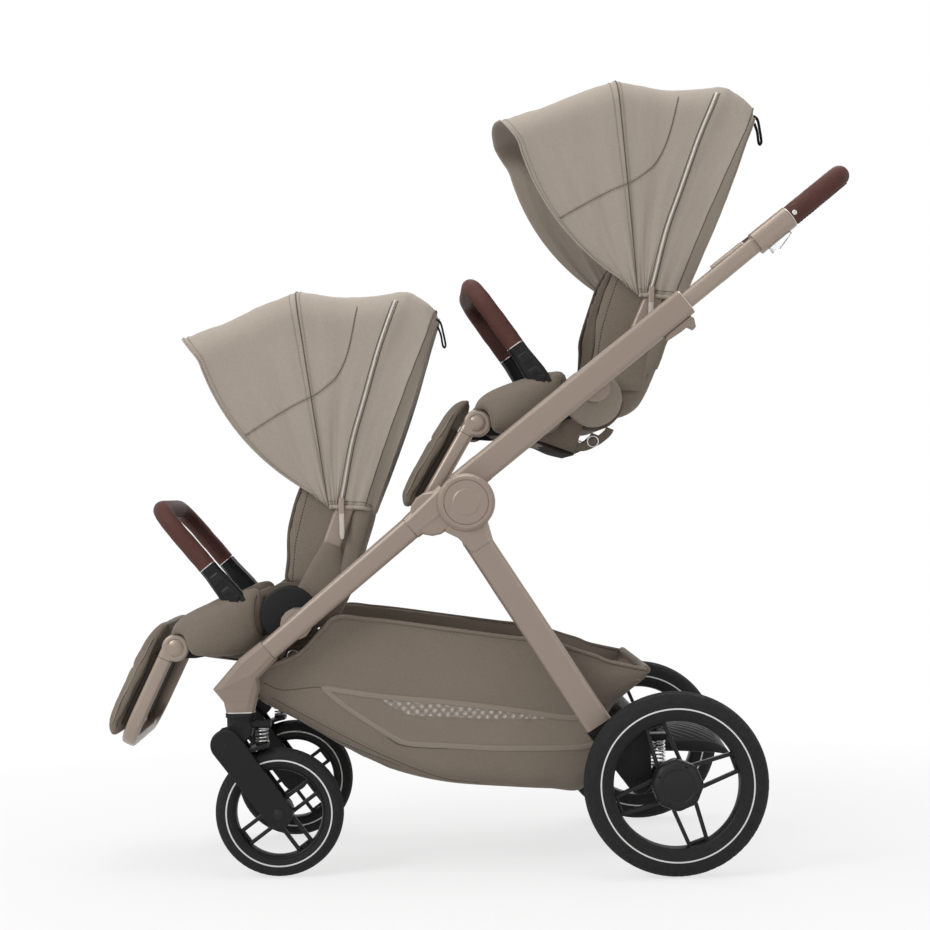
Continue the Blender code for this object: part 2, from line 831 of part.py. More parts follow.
def build_handle_tube(side, tag):
    """Inner tube with the collar at its upper end."""
    way = handle_axis()
    mouth = flat(upper_tube_high, inner_layer_y)
    section = rounded_rectangle(handle_tube_thickness, handle_tube_height, 0.007)
    body = skin("handle_tube_" + tag, [
        ring_at(mouth - way * handle_tube_hidden, way, section),
        ring_at(mouth + way * (handle_tube_shown + 0.01), way, section),
    ])
    start = mouth + way * handle_tube_shown
    end = start + way * collar_length
    collar = skin("collar", [
        ring_at(start, way, rounded_rectangle(collar_thickness, collar_height, 0.012)),
        ring_at(start + way * 0.006, way, rounded_rectangle(collar_thickness + 0.001, collar_height, 0.012)),
        ring_at(end, way, rounded_rectangle(collar_thickness, collar_height - 0.002, 0.012)),
    ])
    join(body, collar)
    mirror(body, side)
    paint(body, "handle_taupe", (0.323, 0.258, 0.209), 0.4, 0.3)
    return place(body, (upper_tube_high[0], 0, upper_tube_high[1]))


def build_handle_grip():
    """Grip that runs up from both collars and across between them."""
    way = handle_axis()
    start = flat(upper_tube_high, 0) + way * (handle_tube_shown + collar_length + touch_gap)
    end = start + way * grip_arm_length
    half = inner_layer_y
    corners = [
        start + Vector((0, -half, 0)), end + Vector((0, -half, 0)),
        end + Vector((0, half, 0)), start + Vector((0, half, 0)),
    ]
    path = bent_path(corners, grip_corner, 5)
    up = Vector((-way.z, 0, way.x))
    body = sweep("handle_grip", path, circle_section(grip_radius, 14), up)
    paint(body, "grip_leather", leather, 0.55)
    return place(body, (upper_tube_high[0], 0, upper_tube_high[1]))


def build_handle_release():
    """Small clear squeeze lever under one collar."""
    way = handle_axis()
    down = Vector((way.z, 0, -way.x))
    base = flat(upper_tube_high, -inner_layer_y) + way * (handle_tube_shown + 0.012)
    base = base + down * (collar_height / 2 + touch_gap)
    outline = []
    for along, below in ((0.0, 0.0), (0.040, 0.0), (0.041, 0.004), (0.010, 0.012), (0.0, 0.010)):
        point = base + way * along + down * below
        outline.append((point.x, point.z))
    body = plate("handle_release", outline, -inner_layer_y - 0.008, 0.008 - inner_layer_y, 0.001)
    paint(body, "clear_plastic", clear, 0.15)
    return place(body, base)


# Casters and forks

def wheel_room_radius():
    """Radius of the space that the fork keeps clear round the front tyre."""
    return front_wheel_radius + fork_room


def spring_seat_z():
    """Top of the fork's bridge where the front spring stands."""
    reach = wheel_room_radius() + bridge_thickness
    inner_edge = front_spring_x + front_spring_radius + spring_wire_radius
    return front_wheel_radius + math.sqrt(reach ** 2 - (inner_edge - front_axle_x) ** 2)


def spring_roof_z():
    """Underside of the caster above the front spring."""
    return spring_seat_z() + front_spring_length


def build_caster(side, tag):
    """Swivel housing with the fork's pivot pin and the roof over the spring."""
    x = caster_axis_x()
    y = front_track_half
    top = knee_bottom_z - touch_gap
    ring = turned("caster_" + tag, [
        (0.0, top), (caster_ring_radius, top), (caster_ring_radius, top - caster_ring_height),
        (caster_ring_radius - 0.002, top - caster_ring_height), (caster_ring_radius - 0.002, top - caster_depth),
        (0.0, top - caster_depth),
    ], (x, y, 0), "Z", 16)
    roof = spring_roof_z()
    lug = plate("lug", belt([
        (x, top - caster_ring_height - 0.0190, 0.0190), (fork_pivot_x, fork_pivot_z, caster_lug_radius),
    ]), y - caster_lug_half_width, y + caster_lug_half_width, 0.002)
    shelf = block(
        "shelf", (x, y - 0.014, roof), (front_spring_x + 0.014, y + 0.014, roof + 0.010), 0.002,
    )
    half = fork_half_width()
    pivot = pin(
        "pivot", (fork_pivot_x, y - half - 0.001, fork_pivot_z),
        (fork_pivot_x, y + half + 0.001, fork_pivot_z), pivot_pin_radius,
    )
    stem = pin("stem", (x, y, top - 0.006), (x, y, knee_bottom_z + swivel_pin_length), swivel_pin_radius)
    body = join(ring, lug, shelf, pivot, stem)
    mirror(body, side)
    paint(body, "black_plastic", black, 0.4)
    return place(body, (x, side * y, knee_bottom_z))


def fork_half_width():
    """Half width of the fork over both of its plates."""
    return front_tyre_width / 2 + fork_room + fork_plate


def build_fork(side, tag):
    """Trailing fork: two plates, an arched bridge over the tyre, and the axle."""
    y = front_track_half
    half = fork_half_width()
    inner = half - fork_plate
    outline = belt([
        (fork_pivot_x, fork_pivot_z, fork_pivot_radius),
        (front_axle_x, front_wheel_radius, fork_end_radius),
    ])
    near = plate("fork_" + tag, outline, y + inner, y + half, 0.0015)
    far = plate("far_plate", outline, y - half, y - inner, 0.0015)
    reach = wheel_room_radius()
    arch = []
    for radius, order in ((reach, 1), (reach + bridge_thickness, -1)):
        angles = [math.radians(98 + 7 * i) for i in range(6)]
        for angle in angles[::order]:
            arch.append((
                front_axle_x + radius * math.cos(angle), front_wheel_radius + radius * math.sin(angle),
            ))
    bridge = plate("bridge", arch, y - inner - 0.002, y + inner + 0.002)
    axle = pin(
        "axle", (front_axle_x, y - half - 0.002, front_wheel_radius),
        (front_axle_x, y + half + 0.002, front_wheel_radius), axle_radius,
    )
    seat = turned("seat", [
        (0.0, spring_seat_z()), (front_spring_radius + 0.002, spring_seat_z()),
        (front_spring_radius + 0.002, spring_seat_z() - 0.006), (0.0, spring_seat_z() - 0.006),
    ], (front_spring_x, y, 0), "Z", 12)
    body = join(near, bridge, far, axle, seat)
    hole = pin(
        "hole", (fork_pivot_x, y - half - 0.01, fork_pivot_z),
        (fork_pivot_x, y + half + 0.01, fork_pivot_z), pivot_pin_radius + running_gap,
    )
    cut(body, hole)
    mirror(body, side)
    paint(body, "black_plastic", black, 0.4)
    return place(body, (fork_pivot_x, side * y, fork_pivot_z))


# Rear axle beam, suspension arms and brake

def build_axle_beam():
    """Cross beam with both rear feet, spring roofs, arm pins and pedal lugs."""
    section = rounded_rectangle(2 * beam_half_width, 2 * beam_half_height, 0.010)
    low = outer_layer_y - foot_thickness / 2
    high = outer_layer_y + foot_thickness / 2
    ends = [Vector((beam_x, y, beam_z)) for y in (-low - 0.006, low + 0.006)]
    body = skin("rear_axle_beam", [ring_at(end, Vector((0, 1, 0)), section) for end in ends])
    way = Vector(rear_leg_foot) - Vector(rear_leg_top)
    way.normalize()
    square = Vector((-way.y, way.x)) * (rear_leg_height / 2)
    seam = Vector(rear_leg_foot) + way * 0.001
    outline = belt([
        (seam.x + square.x, seam.y + square.y, 0.001), (seam.x - square.x, seam.y - square.y, 0.001),
        (arm_pivot_x, arm_pivot_z, 0.0185), (beam_x, beam_z, 0.020),
    ])
    arm_low = arm_layer_y - arm_thickness / 2
    roof_half = 0.012
    for side in (1, -1):
        foot = plate("foot", outline, low, high, 0.002)
        roof = block(
            "roof", (beam_x, arm_layer_y - roof_half, rear_spring_high_z),
            (rear_spring_x + 0.013, low + 0.004, rear_spring_high_z + 0.010), 0.0015,
        )
        neck = block(
            "neck", (beam_x - 0.008, arm_layer_y - roof_half, rear_spring_high_z + 0.004),
            (beam_x + 0.016, low + 0.004, beam_z),
        )
        pivot = pin(
            "pivot", (arm_pivot_x, arm_low, arm_pivot_z), (arm_pivot_x, high + 0.002, arm_pivot_z),
            axle_radius,
        )
        for piece in (foot, roof, neck, pivot):
            join(body, mirror(piece, side))
        lug_y = pedal_lug_y()
        lug = plate("lug", belt([
            (beam_x, beam_z, 0.012), (pedal_hinge_x, pedal_hinge_z, pedal_hinge_radius),
        ]), lug_y, lug_y + 0.008, 0.001)
        hinge_pin = pin(
            "hinge_pin", (pedal_hinge_x, lug_y - 0.012, pedal_hinge_z),
            (pedal_hinge_x, lug_y + 0.004, pedal_hinge_z), pedal_pin_radius,
        )
        join(body, mirror(lug, side), mirror(hinge_pin, side))
    return paint(body, "black_plastic", black, 0.4)


def pedal_lug_y():
    """Inner face of the lugs that hold the pedal's hinge pins."""
    return pedal_half_width - 0.028


def build_rear_arm(side, tag):
    """Suspension arm with its stub axle and the seat under the rear spring."""
    low = arm_layer_y - arm_thickness / 2
    high = arm_layer_y + arm_thickness / 2
    body = plate("rear_arm_" + tag, belt([
        (arm_pivot_x, arm_pivot_z, arm_pivot_radius),
        (rear_axle_x, rear_wheel_radius, arm_end_radius),
    ]), low, high, 0.0015)
    boss_end = rear_track_half + rear_wheel_hub_inside() - touch_gap
    boss = pin(
        "boss", (rear_axle_x, high - 0.004, rear_wheel_radius),
        (rear_axle_x, boss_end, rear_wheel_radius), 0.011,
    )
    stub = pin(
        "stub", (rear_axle_x, high, rear_wheel_radius),
        (rear_axle_x, rear_track_half + 0.0165, rear_wheel_radius), axle_radius,
    )
    seat = turned("seat", [
        (0.0, rear_spring_low_z), (0.010, rear_spring_low_z), (0.010, arm_pivot_z), (0.0, arm_pivot_z),
    ], (rear_spring_x, arm_layer_y, 0), "Z", 12)
    join(body, boss, stub, seat)
    cut(body, pin(
        "hole", (arm_pivot_x, low - 0.01, arm_pivot_z), (arm_pivot_x, high + 0.01, arm_pivot_z),
        axle_radius + running_gap,
    ))
    mirror(body, side)
    paint(body, "black_plastic", black, 0.4)
    return place(body, (arm_pivot_x, side * arm_layer_y, arm_pivot_z))


def build_brake_pedal():
    """Ribbed brake pedal on a barrel that turns on the beam's hinge pins."""
    half = pedal_half_width
    barrel_half = pedal_lug_y() - touch_gap
    top = [
        (pedal_hinge_x + 0.004, pedal_hinge_z + 0.006), (pedal_hinge_x + 0.038, pedal_hinge_z + 0.0045),
        (pedal_end_x - 0.051, pedal_hinge_z + 0.005), (pedal_end_x - 0.024, pedal_hinge_z - 0.005),
        (pedal_end_x - 0.008, pedal_hinge_z - 0.023), (pedal_end_x, pedal_hinge_z - pedal_drop),
    ]
    under = [(x - 0.0015, z - pedal_thickness) for x, z in reversed(top[1:])]
    under[0] = (pedal_end_x - pedal_thickness, pedal_hinge_z - pedal_drop - 0.001)
    outline = top + under + [(pedal_hinge_x + 0.004, pedal_hinge_z - 0.003)]
    body = plate("brake_pedal", outline, -barrel_half, barrel_half, 0.001)
    wide = [point for point in outline if point[0] > pedal_hinge_x + 0.03]
    barrel = pin(
        "barrel", (pedal_hinge_x, -barrel_half, pedal_hinge_z), (pedal_hinge_x, barrel_half, pedal_hinge_z),
        pedal_hinge_radius, 20,
    )
    join(body, plate("tread", wide, -half, half, 0.001), barrel)
    rib_z = pedal_hinge_z + 0.0048
    for i in range(pedal_ribs):
        middle = (i - (pedal_ribs - 1) / 2) * 2 * half / (pedal_ribs + 1)
        rib = block("rib", (-0.024, -0.0025, -0.002), (0.024, 0.0025, 0.0022))
        rib.data.transform(Matrix.Translation((pedal_hinge_x + 0.060, middle, rib_z)) @ Matrix.Rotation(0.6, 4, "Z"))
        join(body, rib)
    cut(body, pin(
        "hole", (pedal_hinge_x, -half, pedal_hinge_z), (pedal_hinge_x, half, pedal_hinge_z),
        pedal_pin_radius + running_gap,
    ))
    paint(body, "black_plastic", black, 0.4)
    return place(body, (pedal_hinge_x, 0, pedal_hinge_z))


# Basket

def basket_stations():
    """Side view of the basket, as X with its lower and upper heights."""
    return [
        (-0.3415, 0.276, 0.312), (-0.330, 0.264, 0.318), (-0.276, 0.232, 0.338), (-0.240, 0.210, 0.374),
        (-0.214, 0.194, 0.396), (-0.122, 0.149, 0.385), (-0.046, 0.131, 0.374), (0.050, 0.123, 0.359),
        (0.110, 0.119, 0.351), (0.161, 0.117, 0.334), (0.203, 0.241, 0.318), (0.262, 0.294, 0.304),
    ]


def basket_half_width(x):
    """Outer half width of the basket at a distance along it."""
    stations = basket_stations()
    first = stations[0][0]
    last = stations[-1][0]
    share = min(max((x - first) / (last - first), 0.0), 1.0)
    return basket_half_width_front + share * (basket_half_width_rear - basket_half_width_front)


def basket_ring(x, low, high, half):
    """Upright section of the basket with rounded lower corners."""
    corner = min(0.030, (high - low) * 0.4)
    side = [
        (half - corner, low), (half - corner * 0.5, low + corner * 0.13),
        (half - corner * 0.13, low + corner * 0.5), (half, low + corner), (half, high),
    ]
    outline = [(-y, z) for y, z in reversed(side)] + side
    return [Vector((x, y, z)) for y, z in outline]


def build_basket():
    """Open fabric basket: an outer shape with the inner space cut out."""
    outer = []
    inner = []
    for x, low, high in basket_stations():
        half = basket_half_width(x)
        outer.append(basket_ring(x, low, high, half))
        end = 0.0
        if x < basket_front_bend:
            end = basket_wall
        if x > basket_rear_bend:
            end = -basket_wall
        inner.append(basket_ring(x + end, low + basket_wall, high + 0.012, half - basket_wall))
    body = skin("basket", outer)
    cut(body, skin("basket_room", inner))
    paint(body, "basket_cloth", cloth_dark, 0.9)
    return body


# Seats, built about their own hub and then moved to their place

def seat_frame(hub, tilt):
    """Matrix that carries a seat from its own hub to its place on the frame."""
    turn = Matrix.Rotation(math.radians(tilt), 4, "Y")
    return Matrix.Translation((hub[0], 0, hub[1])) @ turn


def tub_ring(point, tangent, half, depth, wall, floor):
    """Section of a padded tub: a floor with a raised bolster at each side."""
    outline = [
        (-half, 0.0), (-half, depth * 0.55), (-half + wall * 0.35, depth * 0.95),
        (-half + wall * 0.75, depth), (-half + wall * 1.1, depth * 0.80), (-half + wall * 1.5, floor * 1.15),
        (-half * 0.45, floor * 0.96), (0.0, floor * 1.04),
    ]
    outline += [(-a, b) for a, b in reversed(outline[:-1])]
    return ring_at(point, tangent, outline, up=Vector((0, 0, 1)))


def build_seat_base(prefix, frame):
    """Seat cushion with side bolsters that rise towards the hips."""
    floor_low = -0.074
    stations = [
        (-0.160, -0.040, 0.020, 0.020), (-0.154, -0.056, 0.040, 0.036), (-0.140, -0.060, 0.066, 0.046),
        (-0.100, -0.068, 0.086, 0.052), (-0.072, -0.071, 0.104, 0.050), (-0.0535, -0.072, 0.112, 0.046),
    ]
    rings = []
    for x, low, depth, floor in stations:
        rings.append(tub_ring(Vector((x, 0, low)), Vector((1, 0, 0)), seat_half_width, depth, 0.026, floor))
    body = skin(prefix + "seat_base", rings)
    under = block(
        "under", (-0.060, -seat_half_width, floor_low),
        (0.020, seat_half_width, -roll_radius - 0.0015), 0.004,
    )
    join(body, under)
    paint(body, "seat_cloth", cloth_dark, 0.9)
    return place(body, (0, 0, 0), frame)


def build_backrest(prefix, frame):
    """Backrest that turns on a round roll at the seat's hub."""
    stations = [
        (0.050, -0.024, 0.030, 0.020), (0.078, -0.004, 0.060, 0.034),
        (0.092, 0.036, 0.098, 0.030), (0.110, 0.084, 0.114, 0.024),
        (0.129, 0.142, 0.118, 0.024), (0.1345, 0.172, 0.112, 0.020),
        (0.154, 0.240, 0.088, 0.024), (0.182, 0.325, 0.062, 0.024),
        (0.208, 0.405, 0.042, 0.022), (0.217, 0.434, 0.032, 0.016),
    ]
    rings = []
    for i, (x, z, depth, floor) in enumerate(stations):
        before = stations[max(i - 1, 0)]
        after = stations[min(i + 1, len(stations) - 1)]
        tangent = Vector((before[0] - after[0], 0, before[1] - after[1]))
        rings.append(tub_ring(Vector((x, 0, z)), tangent, seat_half_width, depth, 0.020, floor))
    body = skin(prefix + "backrest", rings)
    roll = pin("roll", (0, -seat_half_width, 0), (0, seat_half_width, 0), roll_radius, 24)
    join(body, roll)
    paint(body, "seat_cloth", cloth_dark, 0.9)
    return place(body, (0, 0, 0), frame)


def hoop(base, tip, bow, half, wall, corner):
    """Closed band of one canopy hoop between its side base and its top."""
    start = Vector((base[0], 0, base[1]))
    reach = Vector((tip[0], 0, tip[1])) - start
    length = reach.length
    along = reach.normalized()
    square = Vector((along.z, 0, -along.x))
    shares = (0.0, 0.25, 0.5, 0.75)
    outer = []
    inner = []
    for share in shares:
        rise = share * (length - corner)
        width = half + canopy_bulge * math.sin(math.pi * 0.5 * min(1.0, share * 1.3))
        push = 4 * bow * share * (1 - share)
        outer.append((width, rise, push))
        inner.append((width - wall, rise, push))
    top_width = half + canopy_bulge
    crown = 0.010
    for step in range(4):
        angle = math.radians(10 + 27 * step)
        for points, cutback in ((outer, 0.0), (inner, wall)):
            points.append((
                top_width - corner + (corner - cutback) * math.cos(angle),
                length - corner + (corner - cutback) * math.sin(angle), 0.0,
            ))
    for points, cutback in ((outer, 0.0), (inner, wall)):
        points.append((top_width * 0.45, length - cutback + crown * 0.7, 0.0))
    middle = [(0.0, length + crown, 0.0)]
    under = [(0.0, length + crown - wall, 0.0)]
    band = outer + middle + [(-y, r, p) for y, r, p in reversed(outer)]
    band += [(-y, r, p) for y, r, p in inner] + under + [(y, r, p) for y, r, p in reversed(inner)]
    return [start + along * r - square * p + Vector((0, y, 0)) for y, r, p in band]


def build_canopy(name, frame, pivot, hoops, half):
    """Canopy shell over a row of hoops."""
    rings = [hoop(base, tip, bow, half, canopy_wall, 0.040) for base, tip, bow in hoops]
    body = skin(name, rings)
    paint(body, "canopy_cloth", cloth_light, 0.9)
    return place(body, pivot, frame)


def build_canopies(prefix, frame):
    """Fixed rear half and folding front half of the canopy."""
    half = seat_half_width + touch_gap + canopy_wall
    rear = [
        ((0.136, 0.158), (0.243, 0.462), 0.0), ((0.124, 0.160), (0.230, 0.486), 0.0),
        ((0.106, 0.162), (0.185, 0.501), 0.0), ((0.088, 0.164), (0.116, 0.494), 0.0),
        ((0.070, 0.165), (0.021, 0.503), 0.0),
    ]
    front = [
        ((0.067, 0.166), (0.018, 0.503), 0.0), ((0.060, 0.170), (-0.030, 0.487), 0.004),
        ((0.052, 0.176), (-0.076, 0.468), 0.010), ((0.044, 0.183), (-0.120, 0.450), 0.018),
        ((0.040, 0.188), (-0.157, 0.436), 0.026),
    ]
    pivot = (canopy_pivot[0], 0, canopy_pivot[1])
    build_canopy(prefix + "canopy_rear", frame, (0, 0, 0), rear, half)
    build_canopy(prefix + "canopy_front", frame, pivot, front, half)


def build_seat_hub(prefix, frame, side, tag):
    """Hub disc with the side rail that carries the legrest's hinge pin."""
    inner = seat_half_width + touch_gap
    outer = inner + seat_disc_thickness
    disc = turned(prefix + "seat_hub_" + tag, [
        (0.0, outer), (seat_disc_radius - 0.004, outer), (seat_disc_radius, outer - 0.004),
        (seat_disc_radius, inner), (0.0, inner),
    ], (0, 0, 0), steps=20)
    hinge_x, hinge_z = legrest_hinge
    rail = plate("rail", belt([
        (0.0, -0.030, 0.012), (hinge_x + 0.030, hinge_z - 0.006, 0.012),
    ], 8), inner, inner + rail_thickness, 0.001)
    eye = plate("eye", belt([
        (hinge_x, hinge_z, legrest_hinge_radius - 0.004), (hinge_x + 0.030, hinge_z - 0.006, 0.012),
    ], 12), inner, inner + rail_thickness, 0.001)
    way = bumper_way()
    post_end = flat(bumper_low, inner + rail_thickness / 2) - way * (bumper_foot + touch_gap)
    hinge_pin = pin(
        "hinge_pin", (hinge_x, inner + 0.002, hinge_z),
        (hinge_x, inner + rail_thickness + legrest_disc_thickness - 0.004, hinge_z), pivot_pin_radius,
    )
    post = skin("post", [
        ring_at(point, way, rounded_rectangle(rail_thickness, bumper_post_height, 0.002))
        for point in (post_end, post_end - way * bumper_post_length)
    ])
    body = join(disc, rail, eye, hinge_pin, post)
    mirror(body, side)
    paint(body, "black_plastic", black, 0.4)
    return place(body, (0, 0, 0), frame)


def legrest_layer():
    """Middle of the legrest's side tubes, outside the seat's rails."""
    return seat_half_width + touch_gap + rail_thickness + touch_gap + legrest_disc_thickness / 2


def legrest_arm_length():
    """Length of the legrest's arms from beside the hinge to the foot bar."""
    return (flat(legrest_hinge, 0) - flat(legrest_foot, 0)).length


def legrest_ways():
    """Direction down the legrest's arms, and the one out to its front."""
    offset = flat(legrest_foot, 0) - flat(legrest_hinge, 0)
    lean = math.asin(legrest_arm_lead / offset.length)
    way = Matrix.Rotation(-lean, 3, "Y") @ offset.normalized()
    return way, Vector((way.z, 0, -way.x))


def build_legrest_frame(prefix, frame):
    """Bent legrest tube with a hinge disc at each end."""
    x, z = legrest_hinge
    y = legrest_layer()
    way, out = legrest_ways()
    top = flat(legrest_foot, y) - way * legrest_arm_length()
    foot = flat(legrest_foot, y)
    over = Vector((0, -2 * y, 0))
    path = bent_path([top, foot, foot + over, top + over], legrest_corner, 3)
    section = rounded_rectangle(legrest_arm_width, legrest_arm_height, 0.0069)
    body = sweep(prefix + "legrest_frame", path, section, out)
    inner = y - legrest_disc_thickness / 2
    outer = y + legrest_disc_thickness / 2
    for side in (1, -1):
        disc = turned("disc", [
            (0.0, outer), (legrest_hinge_radius - 0.003, outer), (legrest_hinge_radius, outer - 0.003),
            (legrest_hinge_radius, inner), (0.0, inner),
        ], (x, 0, z), steps=14)
        join(body, mirror(disc, side))
    holes = []
    for side in (1, -1):
        hole = pin("hole", (x, inner - 0.01, z), (x, outer - 0.002, z), pivot_pin_radius + running_gap)
        holes.append(mirror(hole, side))
    cut(body, *holes)
    paint(body, "handle_taupe", (0.323, 0.258, 0.209), 0.4, 0.3)
    return place(body, (x, 0, z), frame)


def build_legrest_pad(prefix, frame):
    """Crowned calf pad in front of the legrest's arms, with its board between them."""
    way, out = legrest_ways()
    arm_top = flat(legrest_foot, 0) - way * legrest_arm_length()
    front = legrest_arm_height / 2 + touch_gap
    board_half = legrest_layer() - legrest_arm_width / 2 - touch_gap
    length = legrest_arm_length()
    stations = [
        (-0.026, 0.004, 0.0), (-0.020, 0.014, 0.0), (0.006, 0.022, 0.0), (0.026, 0.024, 0.0),
        (0.030, 0.025, 0.022), (0.30 * length, 0.027, 0.022), (0.62 * length, 0.027, 0.022),
        (length - 0.034, 0.024, 0.022), (length - 0.030, 0.023, 0.0), (length - 0.004, 0.017, 0.0),
        (length + 0.003, 0.008, 0.0),
    ]
    rings = []
    for along, thick, depth in stations:
        half = pad_half_width if along > 0.020 else seat_half_width - 0.002
        board = board_half if along < length - 0.050 else board_half - 0.014
        section = [
            (-half, front), (-half - 0.002, front + thick * 0.5), (-half + 0.007, front + thick * 0.92),
            (-half * 0.5, front + thick), (0.0, front + thick * 1.08),
        ]
        section += [(-a, b) for a, b in reversed(section[:-1])]
        section += [(board, front), (board - 0.004, front - depth), (0.0, front - depth)]
        section += [(0.004 - board, front - depth), (-board, front)]
        rings.append(ring_at(arm_top + way * along, way, section, out))
    body = skin(prefix + "legrest_pad", rings)
    paint(body, "seat_cloth", cloth_dark, 0.9)
    return place(body, (legrest_hinge[0], 0, legrest_hinge[1]), frame)


def bumper_way():
    """Direction in which the bumper bar leaves its sockets."""
    way = flat(bumper_joint, 0) - flat(bumper_low, 0)
    return way.normalized()


def build_bumper_bar(prefix, frame):
    """Padded bumper bar with a plug for the socket at each end."""
    way = bumper_way()
    start = flat(bumper_joint, 0) + way * touch_gap
    front = flat(bumper_front, 0) - Vector((-bumper_radius, 0, bumper_radius)) * 0.7
    across = Vector((0, bumper_y, 0))
    corners = [start + across, front + across, front - across, start - across]
    path = bent_path(corners, 0.085, 5)
    up = Vector((-way.z, 0, way.x))
    body = sweep(prefix + "bumper_bar", path, circle_section(bumper_radius, 12), up)
    for side in (1, -1):
        root = start + across * side
        join(body, pin(
            "plug", root - way * bumper_plug_length, root + way * 0.01, bumper_plug_radius,
        ))
    paint(body, "grip_leather", leather, 0.55)
    return place(body, start, frame)


def build_bumper_end(prefix, frame, side, tag):
    """Socket of the bumper bar, with its rounded lower end and button."""
    way = bumper_way()
    low = flat(bumper_low, bumper_y)
    high = flat(bumper_joint, bumper_y)
    up = Vector((-way.z, 0, way.x))
    square = rounded_rectangle(bumper_end_thickness, 0.034, 0.009)
    rings = [
        ring_at(low - way * bumper_foot, way, rounded_rectangle(0.022, 0.024, 0.008), up),
        ring_at(low - way * 0.014, way, square, up),
        ring_at(low + way * 0.014, way, square, up),
        ring_at(high - way * 0.012, way, rounded_rectangle(0.0285, 0.0285, 0.0135), up),
        ring_at(high, way, rounded_rectangle(0.0285, 0.0285, 0.0135), up),
    ]
    body = skin(prefix + "bumper_end_" + tag, rings)
    face = bumper_y + bumper_end_thickness / 2
    button = block(
        "button", (low.x - 0.008, face - 0.003, low.z - 0.008), (low.x + 0.008, face + 0.002, low.z + 0.008),
        0.0015,
    )
    join(body, button)
    cut(body, pin(
        "hole", high + way * 0.01, high - way * (bumper_plug_length + 0.001),
        bumper_plug_radius + running_gap,
    ))
    mirror(body, side)
    paint(body, "black_plastic", black, 0.4)
    return place(body, (0, 0, 0), frame)


def build_seat(prefix, hub, tilt, recline):
    """One whole seat, from its hubs to its canopy."""
    frame = seat_frame(hub, tilt)
    back_frame = seat_frame(hub, tilt + recline)
    build_seat_base(prefix, frame)
    build_backrest(prefix, back_frame)
    build_canopies(prefix, back_frame)
    build_legrest_frame(prefix, frame)
    build_legrest_pad(prefix, frame)
    build_bumper_bar(prefix, frame)
    for side, tag in ((-1, "left"), (1, "right")):
        build_seat_hub(prefix, frame, side, tag)
        build_bumper_end(prefix, frame, side, tag)


def centre_over_ground():
    """Move every piece so that the whole pushchair is centred along X."""
    bodies = list(bpy.context.scene.collection.objects)
    reaches = [body.location.x + vertex.co.x for body in bodies for vertex in body.data.vertices]
    shift = (min(reaches) + max(reaches)) / 2
    for body in bodies:
        body.location.x -= shift


def main():
    """Build every piece of the pushchair."""
    clear_scene()
    for side, tag in ((-1, "left"), (1, "right")):
        build_wheels(side, tag)
        build_hub_housing(side, tag)
        build_front_leg(side, tag)
        build_front_knee(side, tag)
        build_rear_leg(side, tag)
        build_upper_tube(side, tag)
        build_fold_trigger(side, tag)
        build_handle_tube(side, tag)
        build_caster(side, tag)
        build_fork(side, tag)
        build_rear_arm(side, tag)
        front_spring = build_spring(
            "front_spring_" + tag, spring_seat_z(), spring_roof_z(), front_spring_radius,
            front_track_half, front_spring_x, side,
        )
        place(front_spring, (front_spring_x, side * front_track_half, spring_seat_z()))
        rear_spring = build_spring(
            "rear_spring_" + tag, rear_spring_low_z, rear_spring_high_z, rear_spring_radius,
            arm_layer_y, rear_spring_x, side,
        )
        place(rear_spring, (rear_spring_x, side * arm_layer_y, rear_spring_low_z))
    build_cross_tube()
    build_handle_grip()
    build_handle_release()
    build_axle_beam()
    build_brake_pedal()
    build_basket()
    build_seat("lower_", lower_seat_hub, 0.0, 0.0)
    build_seat("upper_", upper_seat_hub, upper_seat_tilt, upper_back_recline)
    centre_over_ground()


main()
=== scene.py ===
"""Looks of the tandem pushchair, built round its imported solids."""
import json
import math

import bmesh
import bpy
import numpy as np
from mathutils import Matrix, Vector, noise
from mathutils.bvhtree import BVHTree


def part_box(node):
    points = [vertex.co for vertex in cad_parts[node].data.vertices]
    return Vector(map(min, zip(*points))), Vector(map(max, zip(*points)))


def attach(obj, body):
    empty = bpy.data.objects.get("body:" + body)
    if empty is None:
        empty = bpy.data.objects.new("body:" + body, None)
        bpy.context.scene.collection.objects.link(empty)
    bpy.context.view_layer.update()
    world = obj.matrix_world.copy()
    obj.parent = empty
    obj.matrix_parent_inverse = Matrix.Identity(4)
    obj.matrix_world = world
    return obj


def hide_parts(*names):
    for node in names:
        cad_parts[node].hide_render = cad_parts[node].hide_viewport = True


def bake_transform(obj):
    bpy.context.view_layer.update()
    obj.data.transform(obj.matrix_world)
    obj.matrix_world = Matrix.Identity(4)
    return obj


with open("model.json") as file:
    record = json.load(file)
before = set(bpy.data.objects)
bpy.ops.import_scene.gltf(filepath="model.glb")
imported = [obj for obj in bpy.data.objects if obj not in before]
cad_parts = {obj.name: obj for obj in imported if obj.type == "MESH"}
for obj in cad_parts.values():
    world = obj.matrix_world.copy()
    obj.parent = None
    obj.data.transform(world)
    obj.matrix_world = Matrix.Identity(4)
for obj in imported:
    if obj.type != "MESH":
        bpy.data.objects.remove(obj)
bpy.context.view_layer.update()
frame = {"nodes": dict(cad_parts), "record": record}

# Places measured in the photograph's plane, moved to the frame's centre
REAR_AXLE = (0.293, 0.275, 0.139)
FRONT_AXLE = (-0.309, 0.190, 0.099)
FORK_PIVOT = (-0.387, 0.207)
FOLD_HUB = (-0.011, 0.569)
LEG_Y = 0.235
KNEE_Y = 0.190
TUBE_Y = 0.2055
UPPER_TUBE = ((0.0162, 0.6211), (0.3333, 0.8675))
GRIP_REACH = 0.2063
low_corner, high_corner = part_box("rear_tyre_left")
shift = (low_corner.x + high_corner.x) / 2 - REAR_AXLE[0]
SIDES = (("left", -1), ("right", 1))
